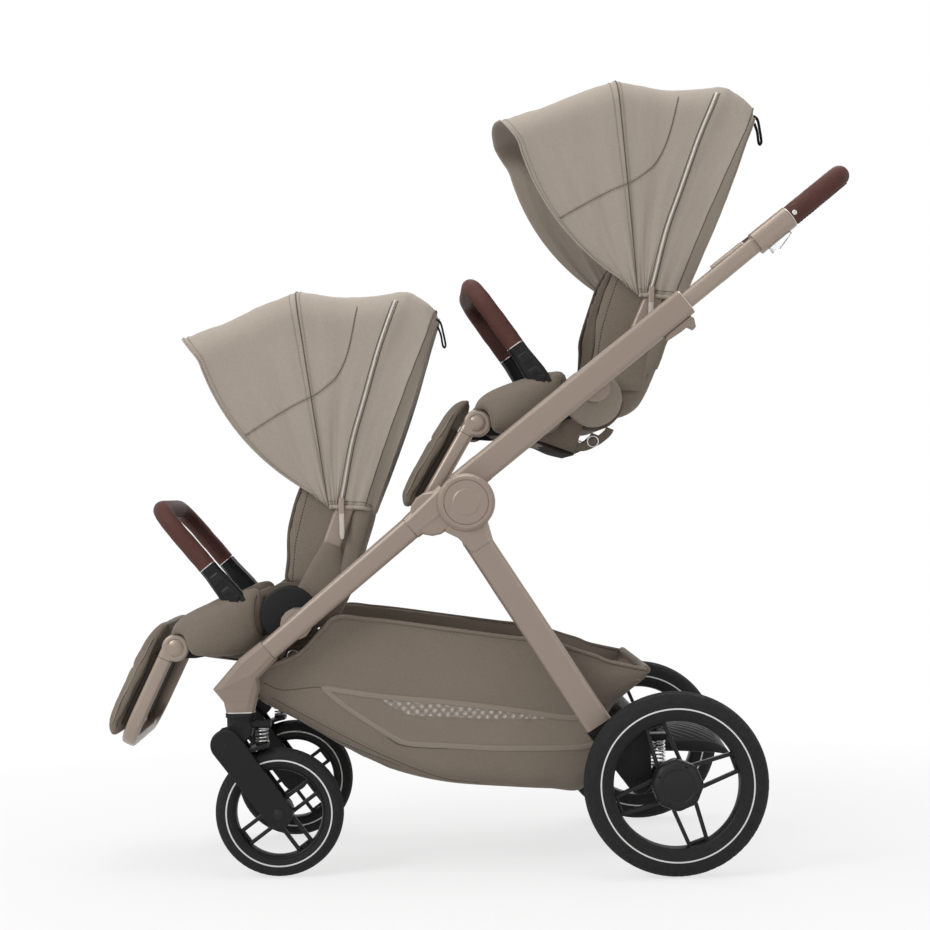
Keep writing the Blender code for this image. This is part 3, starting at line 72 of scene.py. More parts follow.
# Each seat's hub, its tilt and that of its back in degrees, and the body that holds it
SEATS = {
    "lower_": ((-0.290, 0.401), 0.0, 0.0, "chassis"),
    "upper_": ((0.193, 0.725), 4.6, 3.4, "upper_frame"),
}


def at(x, y, z):
    """Point of the row frame from a measured place."""
    return Vector((x + shift, y, z))


def seat_matrix(prefix, back=False):
    """Matrix from a seat's own axes at its hub to the row frame."""
    hub, tilt, back_tilt, body = SEATS[prefix]
    turn = Matrix.Rotation(math.radians(back_tilt if back else tilt), 4, "Y")
    return Matrix.Translation(at(hub[0], 0, hub[1])) @ turn


# Materials

def tone(colour):
    """Linear colour from a display colour."""
    shares = [channel / 255 for channel in colour]
    return [share / 12.92 if share <= 0.04045 else ((share + 0.055) / 1.055) ** 2.4 for share in shares]


def add_node(tree, kind, inputs, operation=None):
    """Shader node with its inputs set, or linked where a socket is given."""
    made = tree.nodes.new("ShaderNode" + kind)
    if operation:
        made.operation = operation
    for slot, value in inputs.items():
        if isinstance(value, bpy.types.NodeSocket):
            tree.links.new(value, made.inputs[slot])
        else:
            made.inputs[slot].default_value = value
    return made


def surface(name, colour, rough, rough_spread=0.08, metallic=0.0, mottle=0.06, mottle_scale=220.0,
            soft_mottle=0.03, fine=None, cells=(), sheen=0.0, coat=0.0, weave=None, holes=None, gloss=0.35):
    """Procedural material: mottled colour, uneven roughness, and layers of bump."""
    made = bpy.data.materials.new(name)
    made.use_nodes = True
    tree = made.node_tree
    shader = tree.nodes["Principled BSDF"]
    for slot, value in (("Metallic", metallic), ("Specular IOR Level", gloss), ("Sheen Weight", sheen),
                        ("Coat Weight", coat), ("Coat Roughness", 0.25)):
        shader.inputs[slot].default_value = value
    place = add_node(tree, "TexCoord", {}).outputs["Object"]

    def noise(scale, detail=2.0):
        return add_node(tree, "TexNoise", {"Scale": scale, "Detail": detail, "Vector": place}).outputs["Fac"]

    def ranged(value, low, high, start=0.3, end=0.7):
        inputs = {"Value": value, "From Min": start, "From Max": end, "To Min": low, "To Max": high}
        return add_node(tree, "MapRange", inputs).outputs["Result"]

    def combined(operation, first, second=0.0):
        return add_node(tree, "Math", {0: first, 1: second}, operation).outputs["Value"]

    gain = combined("MULTIPLY", ranged(noise(mottle_scale, 3.0), 1 - mottle, 1 + mottle),
                    ranged(noise(7.0), 1 - soft_mottle, 1 + soft_mottle))
    layers = [(kind, scale, strength, distance) for kind, scale, strength, distance in cells]
    if fine:
        layers.append(("noise", *fine))
    if weave:
        pitch, depth, contrast = weave
        waves = []
        for angle in (0.62, -0.62):
            turn = add_node(tree, "Mapping", {"Rotation": (0.0, angle, 0.0), "Vector": place})
            wave = add_node(tree, "TexWave", {"Scale": 0.25 / pitch, "Distortion": 0.6, "Detail": 1.0,
                                              "Vector": turn.outputs["Vector"]})
            wave.bands_direction = "DIAGONAL"
            waves.append(wave.outputs["Fac"])
        threads = combined("MAXIMUM", *waves)
        gain = combined("MULTIPLY", gain, ranged(threads, 1 - contrast, 1 + contrast * 0.4, 0.0, 1.0))
        layers.append(("weave", 0.0, depth, pitch * 0.25))
    tint = add_node(tree, "VectorMath", {0: tone(colour), "Scale": gain}, "SCALE")
    tree.links.new(tint.outputs["Vector"], shader.inputs["Base Color"])
    uneven = ranged(noise(mottle_scale * 0.5), rough - rough_spread, rough + rough_spread)
    tree.links.new(uneven, shader.inputs["Roughness"])
    for kind, scale, strength, distance in layers:
        if kind == "noise":
            height = noise(scale, 3.0)
        elif kind == "weave":
            height = threads
        else:
            cell = add_node(tree, "TexVoronoi", {"Scale": scale, "Vector": place})
            cell.feature = kind
            height = cell.outputs["Distance"]
        bump = add_node(tree, "Bump", {"Strength": strength, "Distance": distance, "Height": height})
        for link in shader.inputs["Normal"].links:
            tree.links.new(link.from_socket, bump.inputs["Normal"])
        tree.links.new(bump.outputs["Normal"], shader.inputs["Normal"])
    if holes:
        pitch, share = holes
        split = add_node(tree, "SeparateXYZ", {"Vector": place}).outputs
        rows = []
        for operation in ("ADD", "SUBTRACT"):
            along = combined("MULTIPLY", combined(operation, split["X"], split["Z"]), math.pi / pitch)
            rows.append(combined("ABSOLUTE", combined("SINE", along)))
        tree.links.new(combined("LESS_THAN", combined("MINIMUM", *rows), share), shader.inputs["Alpha"])
    return made


M = {
    "canopy": surface("canopy_weave", (166, 155, 143), 0.86, mottle=0.05, mottle_scale=420, sheen=0.15,
                      weave=(0.0011, 0.35, 0.05), fine=(60, 0.12, 0.002)),
    "seat": surface("seat_weave", (124, 113, 101), 0.9, mottle=0.10, mottle_scale=500, sheen=0.15,
                    weave=(0.0014, 0.5, 0.10), fine=(45, 0.15, 0.002)),
    "liner": surface("liner_weave", (108, 97, 86), 0.92, mottle=0.10, mottle_scale=520, sheen=0.1,
                     weave=(0.0014, 0.5, 0.10), fine=(45, 0.15, 0.002)),
    "basket": surface("basket_weave", (127, 116, 104), 0.9, mottle=0.08, mottle_scale=460, sheen=0.1,
                      weave=(0.0012, 0.4, 0.08), fine=(30, 0.12, 0.003)),
    "mesh": surface("basket_mesh", (154, 142, 129), 0.85, mottle=0.05, holes=(0.0016, 0.56),
                    fine=(500, 0.2, 0.001)),
    "binding": surface("edge_binding", (96, 86, 76), 0.85, mottle_scale=600, weave=(0.0009, 0.5, 0.08)),
    "light_binding": surface("light_binding", (143, 132, 120), 0.85, mottle_scale=600,
                             weave=(0.0009, 0.5, 0.08)),
    # Inner face of the basket wall: lighter than the basket cloth, as painted light on the shaded inside
    "inner": surface("basket_inside_painted_light", (172, 160, 147), 0.9, mottle_scale=460, weave=(0.0012, 0.4, 0.06)),
    "cover": surface("cover_weave", (152, 141, 129), 0.88, mottle_scale=420, sheen=0.1,
                     weave=(0.0012, 0.4, 0.06), fine=(60, 0.12, 0.002)),
    # Dark lining of the seat's base, and the dark board between the legrest arms, where the dark tone is painted
    # shade
    "lining_and_painted_shade": surface("dark_lining_and_painted_shade", (44, 36, 31), 0.9, mottle=0.10, mottle_scale=520,
                      weave=(0.0014, 0.5, 0.10), gloss=0.2),
    "thread": surface("thread", (150, 139, 127), 0.8, mottle=0.05, fine=(900, 0.3, 0.0005)),
    "dark_thread": surface("dark_thread", (62, 44, 40), 0.7, mottle=0.05, fine=(900, 0.3, 0.0005)),
    "tube": surface("satin_taupe_metal", (152, 137, 125), 0.40, metallic=0.25, mottle=0.015,
                    mottle_scale=900, soft_mottle=0.012, fine=(2200, 0.05, 0.0004), coat=0.15),
    "bright_tube": surface("bright_taupe_metal", (158, 143, 130), 0.36, metallic=0.35, mottle=0.015,
                           mottle_scale=900, soft_mottle=0.012, fine=(2200, 0.05, 0.0004), coat=0.2),
    "knee": surface("taupe_plastic", (144, 129, 117), 0.5, mottle=0.02, mottle_scale=700,
                    soft_mottle=0.015, fine=(1400, 0.10, 0.0005)),
    "black": surface("black_grained_plastic", (27, 27, 28), 0.5, mottle=0.08, mottle_scale=700,
                     fine=(1300, 0.16, 0.0006), gloss=0.2),
    "black_metal": surface("black_metal", (25, 25, 26), 0.40, mottle=0.04, fine=(1800, 0.06, 0.0004),
                           gloss=0.3),
    "tyre": surface("tyre_rubber", (36, 36, 37), 0.82, mottle=0.07, mottle_scale=300,
                    fine=(900, 0.25, 0.0008), gloss=0.25),
    "rim": surface("rim_plastic", (30, 30, 31), 0.45, mottle=0.05, mottle_scale=600,
                   fine=(1300, 0.12, 0.0005), gloss=0.25),
    "band": surface("reflecting_band", (226, 226, 224), 0.35, mottle=0.03, mottle_scale=1200,
                    cells=(("F1", 1500, 0.2, 0.0003),)),
    "steel": surface("bright_steel", (190, 190, 190), 0.28, metallic=1.0, mottle=0.03,
                     fine=(2400, 0.05, 0.0003)),
    "silver": surface("silver_trim", (206, 203, 198), 0.3, metallic=0.8, mottle=0.02,
                      fine=(2400, 0.05, 0.0003)),
    "leather": surface("brown_leather", (88, 58, 53), 0.62, 0.07, mottle=0.07, mottle_scale=160,
                       cells=(("DISTANCE_TO_EDGE", 620, 0.3, 0.0006),), fine=(260, 0.2, 0.0008), gloss=0.12),
    "webbing": surface("black_webbing", (30, 29, 29), 0.8, mottle=0.10, mottle_scale=900,
                       weave=(0.0012, 0.6, 0.15), gloss=0.2),
    "clear": surface("clear_plastic", (226, 228, 232), 0.12, 0.03, mottle=0.02, fine=(300, 0.03, 0.0005),
                     gloss=0.5),
    "zip": surface("zip_teeth", (196, 189, 180), 0.4, metallic=0.3, mottle=0.05),
}
M["clear"].node_tree.nodes["Principled BSDF"].inputs["Transmission Weight"].default_value = 0.85

NODE_LOOKS = {
    "tyre_rubber": "tyre", "rim_plastic": "rim", "spring_steel": "steel", "hub_plastic": "tube",
    "frame_taupe": "tube", "knee_plastic": "knee", "black_metal": "black_metal",
    "trigger_plastic": "knee", "handle_taupe": "bright_tube", "grip_leather": "leather",
    "clear_plastic": "clear", "black_plastic": "black", "basket_cloth": "basket",
    "seat_cloth": "seat", "canopy_cloth": "canopy",
}
for entry in frame["record"]["subparts"]:
    materials = frame["nodes"][entry["node"]].data.materials
    materials.clear()
    materials.append(M[NODE_LOOKS[entry["material_slot"]]])


# Camera, light and floor

PHOTO_WIDTH = 930
FOCAL_LENGTH = 2000
PHOTO_SHIFT = (40, 31)
CAMERA_PLACE = (-0.073, -3.275, 0.580)
CAMERA_ROLL = 0.0252
SENSOR = 36
WHITE = (1, 1, 1, 1)
FLOOR_DROP = 0.0008
FLOOR_GREY = 0.86
# Each lamp's place, width and power
LAMPS = {
    "key": ((-2.5, -2.2, 2.6), 1.8, 62), "fill": ((2.6, -2.2, 1.5), 2.2, 11),
    "back": ((0.8, 2.8, 2.4), 2.4, 24), "top": ((0.0, 0.0, 3.2), 2.2, 34),
}
LAMP_AIM = Vector((0, 0, 0.55))
WORLD_LEVEL = 0.42


def linked(name, data):
    """Object of this data, linked to the scene."""
    made = bpy.data.objects.new(name, data)
    bpy.context.scene.collection.objects.link(made)
    return made


def backdrop_rays(tree):
    """Share of rays that meet the backdrop as the camera, a mirror or clear plastic sees it."""
    rays = add_node(tree, "LightPath", {}).outputs
    total = rays["Is Camera Ray"]
    for kind in ("Is Glossy Ray", "Is Transmission Ray"):
        total = add_node(tree, "Math", {0: total, 1: rays[kind]}, "MAXIMUM").outputs["Value"]
    return total


def build_stage():
    """Camera at the photograph's place, soft lamps and a white floor."""
    camera = bpy.data.cameras.new("camera")
    camera.sensor_width = SENSOR
    camera.lens = FOCAL_LENGTH * SENSOR / PHOTO_WIDTH
    camera.shift_x, camera.shift_y = (value / PHOTO_WIDTH for value in PHOTO_SHIFT)
    holder = linked("camera", camera)
    turn = Matrix.Rotation(CAMERA_ROLL, 4, "Y") @ Matrix.Rotation(math.pi / 2, 4, "X")
    holder.matrix_world = Matrix.Translation(at(*CAMERA_PLACE)) @ turn
    bpy.context.scene.camera = holder
    bpy.context.scene.view_settings.view_transform = "Standard"

    for name, (place, size, power) in LAMPS.items():
        light = bpy.data.lights.new(name, "AREA")
        light.shape = "DISK"
        light.size = size
        light.energy = power
        lamp = linked(name, light)
        lamp.location = place
        lamp.rotation_euler = (LAMP_AIM - Vector(place)).to_track_quat("-Z", "Y").to_euler()

    world = bpy.data.worlds.new("studio")
    bpy.context.scene.world = world
    world.use_nodes = True
    tree = world.node_tree
    tree.nodes.clear()
    plain, seen = (add_node(tree, "Background", {"Color": WHITE, "Strength": level}).outputs[0]
                   for level in (WORLD_LEVEL, 1.0))
    mix = add_node(tree, "MixShader", {"Fac": backdrop_rays(tree), 1: plain, 2: seen})
    add_node(tree, "OutputWorld", {"Surface": mix.outputs[0]})

    builder = bmesh.new()
    bmesh.ops.create_grid(builder, x_segments=8, y_segments=8, size=14)
    mesh = bpy.data.meshes.new("floor")
    builder.to_mesh(mesh)
    builder.free()
    floor = linked("floor", mesh)
    floor.location = (0, 0, -FLOOR_DROP)
    made = bpy.data.materials.new("pale_floor")
    made.use_nodes = True
    tree = made.node_tree
    shader = tree.nodes["Principled BSDF"]
    for slot, value in (("Base Color", (FLOOR_GREY,) * 3 + (1,)), ("Roughness", 0.9), ("Specular IOR Level", 0.1)):
        shader.inputs[slot].default_value = value
    glow = add_node(tree, "Emission", {"Color": WHITE})
    place = add_node(tree, "TexCoord", {}).outputs["Object"]
    reach = add_node(tree, "VectorMath", {0: place}, "LENGTH").outputs["Value"]
    fade = add_node(tree, "MapRange", {"From Min": 0.75, "From Max": 1.6, "To Min": 0.72, "To Max": 1.0,
                                       "Value": reach}).outputs["Result"]
    factor = add_node(tree, "Math", {0: fade, 1: backdrop_rays(tree)}, "MULTIPLY").outputs["Value"]
    mix = add_node(tree, "MixShader", {"Fac": factor, 1: shader.outputs[0], 2: glow.outputs[0]})
    tree.links.new(mix.outputs[0], tree.nodes["Material Output"].inputs["Surface"])
    mesh.materials.append(made)


build_stage()


# Shape helpers

def dressed(name, builder, *looks):
    """Object from a finished bmesh, smooth and with its materials."""
    bmesh.ops.recalc_face_normals(builder, faces=builder.faces)
    mesh = bpy.data.meshes.new(name)
    builder.to_mesh(mesh)
    builder.free()
    for look in looks:
        mesh.materials.append(M[look])
    mesh.shade_smooth()
    mesh.set_sharp_from_angle(angle=math.radians(55))
    return linked(name, mesh)


def merged(name, *pieces):
    """One object from several, with their materials kept."""
    builder = bmesh.new()
    looks = []
    for piece in pieces:
        mesh = piece.data
        slots = []
        for entry in mesh.materials:
            if entry not in looks:
                looks.append(entry)
            slots.append(looks.index(entry))
        first = len(builder.faces)
        builder.from_mesh(mesh)
        builder.faces.ensure_lookup_table()
        for face in builder.faces[first:]:
            face.material_index = slots[face.material_index]
        bpy.data.objects.remove(piece)
    mesh = bpy.data.meshes.new(name)
    builder.to_mesh(mesh)
    builder.free()
    for entry in looks:
        mesh.materials.append(entry)
    return linked(name, mesh)


def copied(source, name):
    """Copy of a finished piece under a name of its own."""
    piece = source.copy()
    piece.data = source.data.copy()
    piece.name = piece.data.name = name
    bpy.context.scene.collection.objects.link(piece)
    return piece


def lengths(path):
    """Length along a path up to each of its points."""
    made = [0.0]
    for a, b in zip(path, path[1:]):
        made.append(made[-1] + (b - a).length)
    return made


def curve_through(points, step=0.004, closed=False):
    """Evenly stepped smooth curve through the points."""
    knots = [Vector(p) for p in points]
    fine = []
    count = len(knots)
    for i in range(count if closed else count - 1):
        if closed:
            a, b, c, d = (knots[(i + k) % count] for k in (-1, 0, 1, 2))
        else:
            b, c = knots[i], knots[i + 1]
            a = knots[i - 1] if i else b * 2 - c
            d = knots[i + 2] if i + 2 < count else c * 2 - b
        for k in range(12):
            t = k / 12
            fine.append(0.5 * (
                2 * b + (c - a) * t + (2 * a - 5 * b + 4 * c - d) * t * t
                + (3 * b - a - 3 * c + d) * t ** 3
            ))
    fine.append(knots[0] if closed else knots[-1])
    reach = lengths(fine)
    total = max(3, round(reach[-1] / step))
    made = []
    span = 0
    for k in range(total + 1):
        goal = reach[-1] * k / total
        while span < len(reach) - 2 and reach[span + 1] < goal:
            span += 1
        share = (goal - reach[span]) / max(reach[span + 1] - reach[span], 1e-9)
        made.append(fine[span].lerp(fine[span + 1], min(max(share, 0), 1)))
    return made[:-1] if closed else made


def side_curve(points, step=0.004, closed=False, y=0.0):
    """Evenly stepped curve through side view points."""
    return curve_through([(x, y, z) for x, z in points], step, closed)


def side_line(points, step=0.004):
    """Evenly stepped side view line through measured points in millimetres."""
    return [(p.x, p.z) for p in side_curve([(x / 1000, z / 1000) for x, z in points], step)]


def rounded(width, height, corner, steps=5):
    """Rounded rectangle as offsets across and up."""
    outline = []
    for turn, (sx, sy) in enumerate(((1, 1), (-1, 1), (-1, -1), (1, -1))):
        for k in range(steps + 1):
            angle = math.pi / 2 * (turn + k / steps)
            outline.append((
                sx * (width / 2 - corner) + corner * math.cos(angle),
                sy * (height / 2 - corner) + corner * math.sin(angle),
            ))
    return outline


def disc(radius, count=14):
    """Round section as offsets across and up."""
    angles = [2 * math.pi * k / count for k in range(count)]
    return [(radius * math.cos(angle), radius * math.sin(angle)) for angle in angles]


def rings_mesh(builder, rings, closed=False, caps=True):
    """Skin a row of rings, each a closed loop of points."""
    loops = [[builder.verts.new(point) for point in ring] for ring in rings]
    pairs = list(zip(loops, loops[1:]))
    if closed:
        pairs.append((loops[-1], loops[0]))
    count = len(loops[0])
    for a, b in pairs:
        for k in range(count):
            builder.faces.new((a[k], a[(k + 1) % count], b[(k + 1) % count], b[k]))
    if caps and not closed:
        builder.faces.new(loops[0])
        builder.faces.new(loops[-1])


def ringed(name, rings, look, closed=False, caps=True):
    """Object skinned over a row of rings."""
    builder = bmesh.new()
    rings_mesh(builder, rings, closed, caps)
    return dressed(name, builder, look)


def sweep_rings(path, section, up=None, closed=False, scale=None):
    """Rings of a section carried along a path."""
    rings = []
    count = len(path)
    normal = Vector(up) if up is not None else None
    previous = None
    for i, point in enumerate(path):
        if closed:
            tangent = path[(i + 1) % count] - path[i - 1]
        else:
            tangent = path[min(i + 1, count - 1)] - path[max(i - 1, 0)]
        tangent = tangent.normalized()
        if normal is None:
            normal = tangent.orthogonal()
        if up is None and previous is not None:
            normal = previous.rotation_difference(tangent) @ normal
        across = normal.cross(tangent).normalized()
        above = tangent.cross(across).normalized()
        size = scale(i / (count - 1)) if scale else 1.0
        rings.append([point + across * a * size + above * b * size for a, b in section])
        previous = tangent
        if up is None:
            normal = above
    return rings


def swept(name, path, section, look, up=None, closed=False, scale=None):
    """Object from a section carried along a path."""
    return ringed(name, sweep_rings(path, section, up, closed, scale), look, closed)


def turned(name, profile, centre, look, steps=96, side=1):
    """Object turned about the Y axis from radii and heights; side mirrors it."""
    builder = bmesh.new()
    rings = []
    for k in range(steps):
        angle = 2 * math.pi * k / steps
        rings.append([
            Vector((centre[0] + r * math.cos(angle), side * (centre[1] + h), centre[2] + r * math.sin(angle)))
            for r, h in profile
        ])
    rings_mesh(builder, rings, closed=True)
    bmesh.ops.remove_doubles(builder, verts=builder.verts, dist=1e-6)
    return dressed(name, builder, look)


def stitch_rows(path, lifts, look, length=0.0032, gap=0.0018, radius=0.00045):
    """Row of short thread stitches along a path, each lifted off the cloth."""
    builder = bmesh.new()
    reach = lengths(path)

    def spot(goal):
        k = min(max(int(np.searchsorted(reach, goal)) - 1, 0), len(path) - 2)
        share = (goal - reach[k]) / max(reach[k + 1] - reach[k], 1e-9)
        return path[k].lerp(path[k + 1], share) + lifts[k] * radius * 0.8

    goal = 0.0
    while goal + length < reach[-1]:
        ends = [spot(goal), spot(goal + length / 2), spot(goal + length)]
        rings_mesh(builder, sweep_rings(ends, disc(radius, 6)))
        goal += length + gap
    return dressed("stitches", builder, look)


def tree_of(piece):
    """Search tree of a piece's surface, in its own coordinates."""
    mesh = piece.data
    return BVHTree.FromPolygons([v.co for v in mesh.vertices], [p.vertices for p in mesh.polygons])


def dropped(tree, line, side, lift=0.0, far=0.5):
    """Side view points laid on a surface from one side, with its normals."""
    points = []
    normals = []
    for x, z in line:
        hit, normal, _, _ = tree.ray_cast(Vector((x, side * far, z)), Vector((0, -side, 0)))
        if hit is None:
            continue
        if normal.y * side < 0:
            normal = -normal
        points.append(hit + normal * lift)
        normals.append(normal)
    return points, normals


def snapped(tree, points, lift, middle=None):
    """Points drawn onto the nearest surface, with its normals, which can be turned away from a middle."""
    made = []
    normals = []
    for point in points:
        hit, normal, _, _ = tree.find_nearest(Vector(point))
        if middle and normal.dot(Vector(point) - middle) < 0:
            normal = -normal
        made.append(hit + normal * lift)
        normals.append(normal)
    return made, normals


def baked(piece):
    """Replace a piece's mesh by what its modifiers make of it."""
    graph = bpy.context.evaluated_depsgraph_get()
    mesh = bpy.data.meshes.new_from_object(piece.evaluated_get(graph))
    piece.modifiers.clear()
    piece.data = mesh
    return piece


def thickened(sheet, thickness, look_step=0):
    """Give a sheet its thickness on the inside, whose look can be a later one."""
    thick = sheet.modifiers.new("thick", "SOLIDIFY")
    thick.thickness = thickness
    thick.offset = -1
    thick.material_offset = look_step
    return baked(sheet)


def swollen(piece, reach=0.006, pressure=4.0, voxel=0.005, frames=16):
    """Stuffed cloth: even out the form, let it swell, and keep each point near its start."""
    even = piece.modifiers.new("even", "REMESH")
    even.mode = "VOXEL"
    even.voxel_size = voxel
    even.use_smooth_shade = True
    looks = list(piece.data.materials)
    baked(piece)
    piece.data.materials.clear()
    for entry in looks:
        piece.data.materials.append(entry)
    start = np.array([v.co for v in piece.data.vertices])
    cloth = piece.modifiers.new("cloth", "CLOTH")
    settings = cloth.settings
    settings.quality = 4
    settings.mass = 0.25
    settings.tension_stiffness = settings.compression_stiffness = 12
    settings.bending_stiffness = 0.3
    settings.use_pressure = True
    settings.uniform_pressure_force = pressure
    settings.effector_weights.gravity = 0
    for number in range(1, frames + 1):
        bpy.context.scene.frame_set(number)
    graph = bpy.context.evaluated_depsgraph_get()
    mesh = bpy.data.meshes.new_from_object(piece.evaluated_get(graph))
    move = np.array([v.co for v in mesh.vertices]) - start
    size = np.linalg.norm(move, axis=1, keepdims=True)
    move *= np.minimum(1.0, reach / np.maximum(size, 1e-9))
    piece.modifiers.clear()
    bpy.data.meshes.remove(mesh)
    for vertex, point in zip(piece.data.vertices, start + move):
        vertex.co = point
    bpy.context.scene.frame_set(1)
    piece.data.shade_smooth()
    return piece


def creased(piece, depth, scale, seed, stretch=1.0):
    """Press soft folds into a padded form along its normals, drawn out along z by the stretch."""
    mesh = piece.data
    normals = [v.normal.copy() for v in mesh.vertices]
    for vertex, normal in zip(mesh.vertices, normals):
        place = Vector((vertex.co.x, vertex.co.y, vertex.co.z * stretch)) * scale
        value = noise.noise(place + Vector((seed, 0, 0))) - 0.35 * abs(noise.noise(place * 2.3))
        vertex.co += normal * value * depth
    return piece


def channels(piece, lines, width, depth):
    """Press sewn channels into a padded form near given points."""
    for vertex in piece.data.vertices:
        for centre, axis, limit in lines:
            along = abs((vertex.co - centre).dot(axis))
            if along < width * 2.5 and limit(vertex.co):
                vertex.co -= vertex.normal * depth * math.exp(-(along / width) ** 2)
    return piece


def ridden(piece, body, *nodes):
    """Bind a piece to its body and hide the solids that it stands for."""
    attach(piece, body)
    if nodes:
        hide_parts(*nodes)
    return piece


def placed(piece, matrix, body, *nodes):
    """Carry a piece from seat axes to the frame and bind it there."""
    piece.data.transform(matrix)
    return ridden(piece, body, *nodes)


# Wheels

BAND_SECTION = [(-0.0013, -0.0022), (-0.0011, 0.0004), (0.0, 0.0006), (0.0011, 0.0003), (0.0013, -0.0022)]
BAND_SHARE = 0.415
TREAD_START = 0.72
TREAD_DEPTH = 0.0013
BOLT_RADIUS = 0.0305
WHEELS = {
    "rear_wheel_": dict(
        axle=REAR_AXLE, radius=0.139, rim_radius=0.097, width=0.044, hub_radius=0.038, spoke_gap=0.036,
        first_angle=math.radians(19), face=0.027, blocks=86, narrow=0.25, bolts=4),
    "front_wheel_": dict(
        axle=FRONT_AXLE, radius=0.099, rim_radius=0.0685, width=0.038, hub_radius=0.022, spoke_gap=0.0235,
        first_angle=math.radians(36), face=0.0232, blocks=62, narrow=0.0, bolts=0),
}


def wheel_tyre(side, centre, middle, radius, rim_radius, width, blocks):
    """Tyre with blocks of tread and a reflecting band on each side."""
    depth = radius - rim_radius
    half = width / 2
    profile = [
        (rim_radius + 0.0004, -0.36), (rim_radius + 0.10 * depth, -0.42), (rim_radius + 0.35 * depth, -0.50),
        (rim_radius + 0.60 * depth, -0.49), (rim_radius + 0.80 * depth, -0.43), (radius - 0.07 * depth, -0.31),
        (radius - 0.02 * depth, -0.16), (radius, 0.0),
    ]
    profile = [(r, share * width) for r, share in profile]
    profile += [(r, -h) for r, h in reversed(profile[:-1])]
    fine = curve_through([(r, h, 0) for r, h in profile], 0.0022)
    tyre = turned("tyre", [(p.x, p.y) for p in fine], centre, "tyre", steps=240, side=side)
    for vertex in tyre.data.vertices:
        off = vertex.co - middle
        reach = math.hypot(off.x, off.z)
        share = (reach - rim_radius) / depth
        across = abs(off.y) / half
        if share > TREAD_START:
            block = math.sin((math.atan2(off.z, off.x) + off.y * 6.0) * blocks)
            cut = TREAD_DEPTH * max(0.0, min(1.0, (share - TREAD_START) / 0.12))
            if (block > 0.55 and across > 0.16) or abs(across - 0.34) < 0.06:
                vertex.co.x -= off.x / reach * cut
                vertex.co.z -= off.z / reach * cut
    band_radius = rim_radius + depth * BAND_SHARE
    bands = [turned("band", [(band_radius + r, way * (half + h)) for r, h in BAND_SECTION], centre, "band",
                    steps=160, side=side) for way in (1, -1)]
    return [tyre, *bands]


def wheel_spokes(middle, inner, hub_radius, spoke_gap, first_angle, narrow):
    """Four pairs of spokes, each with a bar across its outer end."""
    pieces = []
    for pair in range(4):
        turn = first_angle + pair * math.pi / 2
        way = Vector((math.cos(turn), 0, math.sin(turn)))
        beside = Vector((-way.z, 0, way.x))
        for offset in (-spoke_gap / 2, spoke_gap / 2):
            start = math.sqrt(max((hub_radius - 0.006) ** 2 - offset ** 2, 1e-6))
            end = math.sqrt((inner + 0.003) ** 2 - offset ** 2)
            path = [middle + way * (start + (end - start) * k / 8) + beside * offset * (1 - narrow * k / 8)
                    for k in range(9)]
            pieces.append(swept("spoke", path, rounded(0.0105, 0.0058, 0.0018, 3), "rim",
                                up=way.cross(Vector((0, 1, 0)))))
        reach = spoke_gap / 2 * (1 - narrow)
        path = [middle + way * (inner - 0.0032) + beside * reach * k / 4 for k in range(-4, 5)]
        pieces.append(swept("bar", path, rounded(0.0100, 0.0040, 0.0014, 3), "rim", up=way))
    return pieces


def wheel(body, side, axle, radius, rim_radius, width, hub_radius, spoke_gap, first_angle, face, blocks, narrow,
          bolts):
    """Tyre, and a rim with twin spokes and its hub."""
    centre = at(*axle)
    middle = Vector((centre.x, side * centre.y, centre.z))
    tyre = merged(body + "_tyre", *wheel_tyre(side, centre, middle, radius, rim_radius, width, blocks))
    tyre.data.shade_smooth()
    ridden(tyre, body, body.replace("wheel", "tyre"))

    outer = rim_radius + 0.0020
    inner = outer - 0.0045
    half = [(outer, 0.0150), (outer - 0.0012, 0.0162), (outer - 0.0028, 0.0155), (inner + 0.0006, 0.0105),
            (inner, 0.0085)]
    profile = [(outer, -0.0150), *half, (inner - 0.0004, 0.0), *((r, -h) for r, h in reversed(half[1:]))]
    pieces = [turned("rim", profile, centre, "rim", steps=144, side=side)]
    pieces += wheel_spokes(middle, inner, hub_radius, spoke_gap, first_angle, narrow)
    if bolts:
        hub = [
            (0.0, face - 0.0006), (0.022, face - 0.0008), (0.0232, face - 0.0016), (0.0246, face - 0.0016),
            (0.0256, face - 0.0006), (0.031, face - 0.0018), (0.0355, face - 0.0045),
            (hub_radius - 0.0006, face - 0.0080), (hub_radius, face - 0.011), (hub_radius - 0.001, -0.010),
            (0.030, -0.015), (0.017, -0.0218), (0.0075, -0.0220), (0.0, -0.0200),
        ]
    else:
        hub = [
            (0.0, face - 0.001), (0.008, face - 0.001), (0.0105, face - 0.002), (0.012, face - 0.002),
            (0.0135, face), (hub_radius - 0.004, face - 0.002), (hub_radius - 0.001, face - 0.005),
            (hub_radius, face - 0.009), (hub_radius, 0.009 - face), (hub_radius - 0.004, 0.002 - face),
            (0.0, -face),
        ]
    cap = turned("hub", hub, centre, "rim", steps=96, side=side)
    for vertex in cap.data.vertices:
        off = vertex.co - middle
        reach = math.hypot(off.x, off.z)
        if bolts and reach > hub_radius * 0.7:
            swell = math.cos(8 * math.atan2(off.z, off.x)) * 0.0009 * (reach / hub_radius)
            vertex.co.x += off.x / reach * swell
            vertex.co.z += off.z / reach * swell
    pieces.append(cap)
    for k in range(bolts):
        turn = first_angle + math.pi / 4 + k * math.pi / 2
        spot = (centre.x + BOLT_RADIUS * math.cos(turn), centre.y, centre.z + BOLT_RADIUS * math.sin(turn))
        pieces.append(turned("bolt", [(0.0, face - 0.0008), (0.0022, face - 0.0010), (0.0026, face - 0.004)],
                             spot, "black_metal", steps=16, side=side))
    ridden(merged(body + "_rim", *pieces), body, body.replace("wheel", "rim"))


for tag, side in SIDES:
    for kind, sizes in WHEELS.items():
        wheel(kind + tag, side, **sizes)


# Canopies

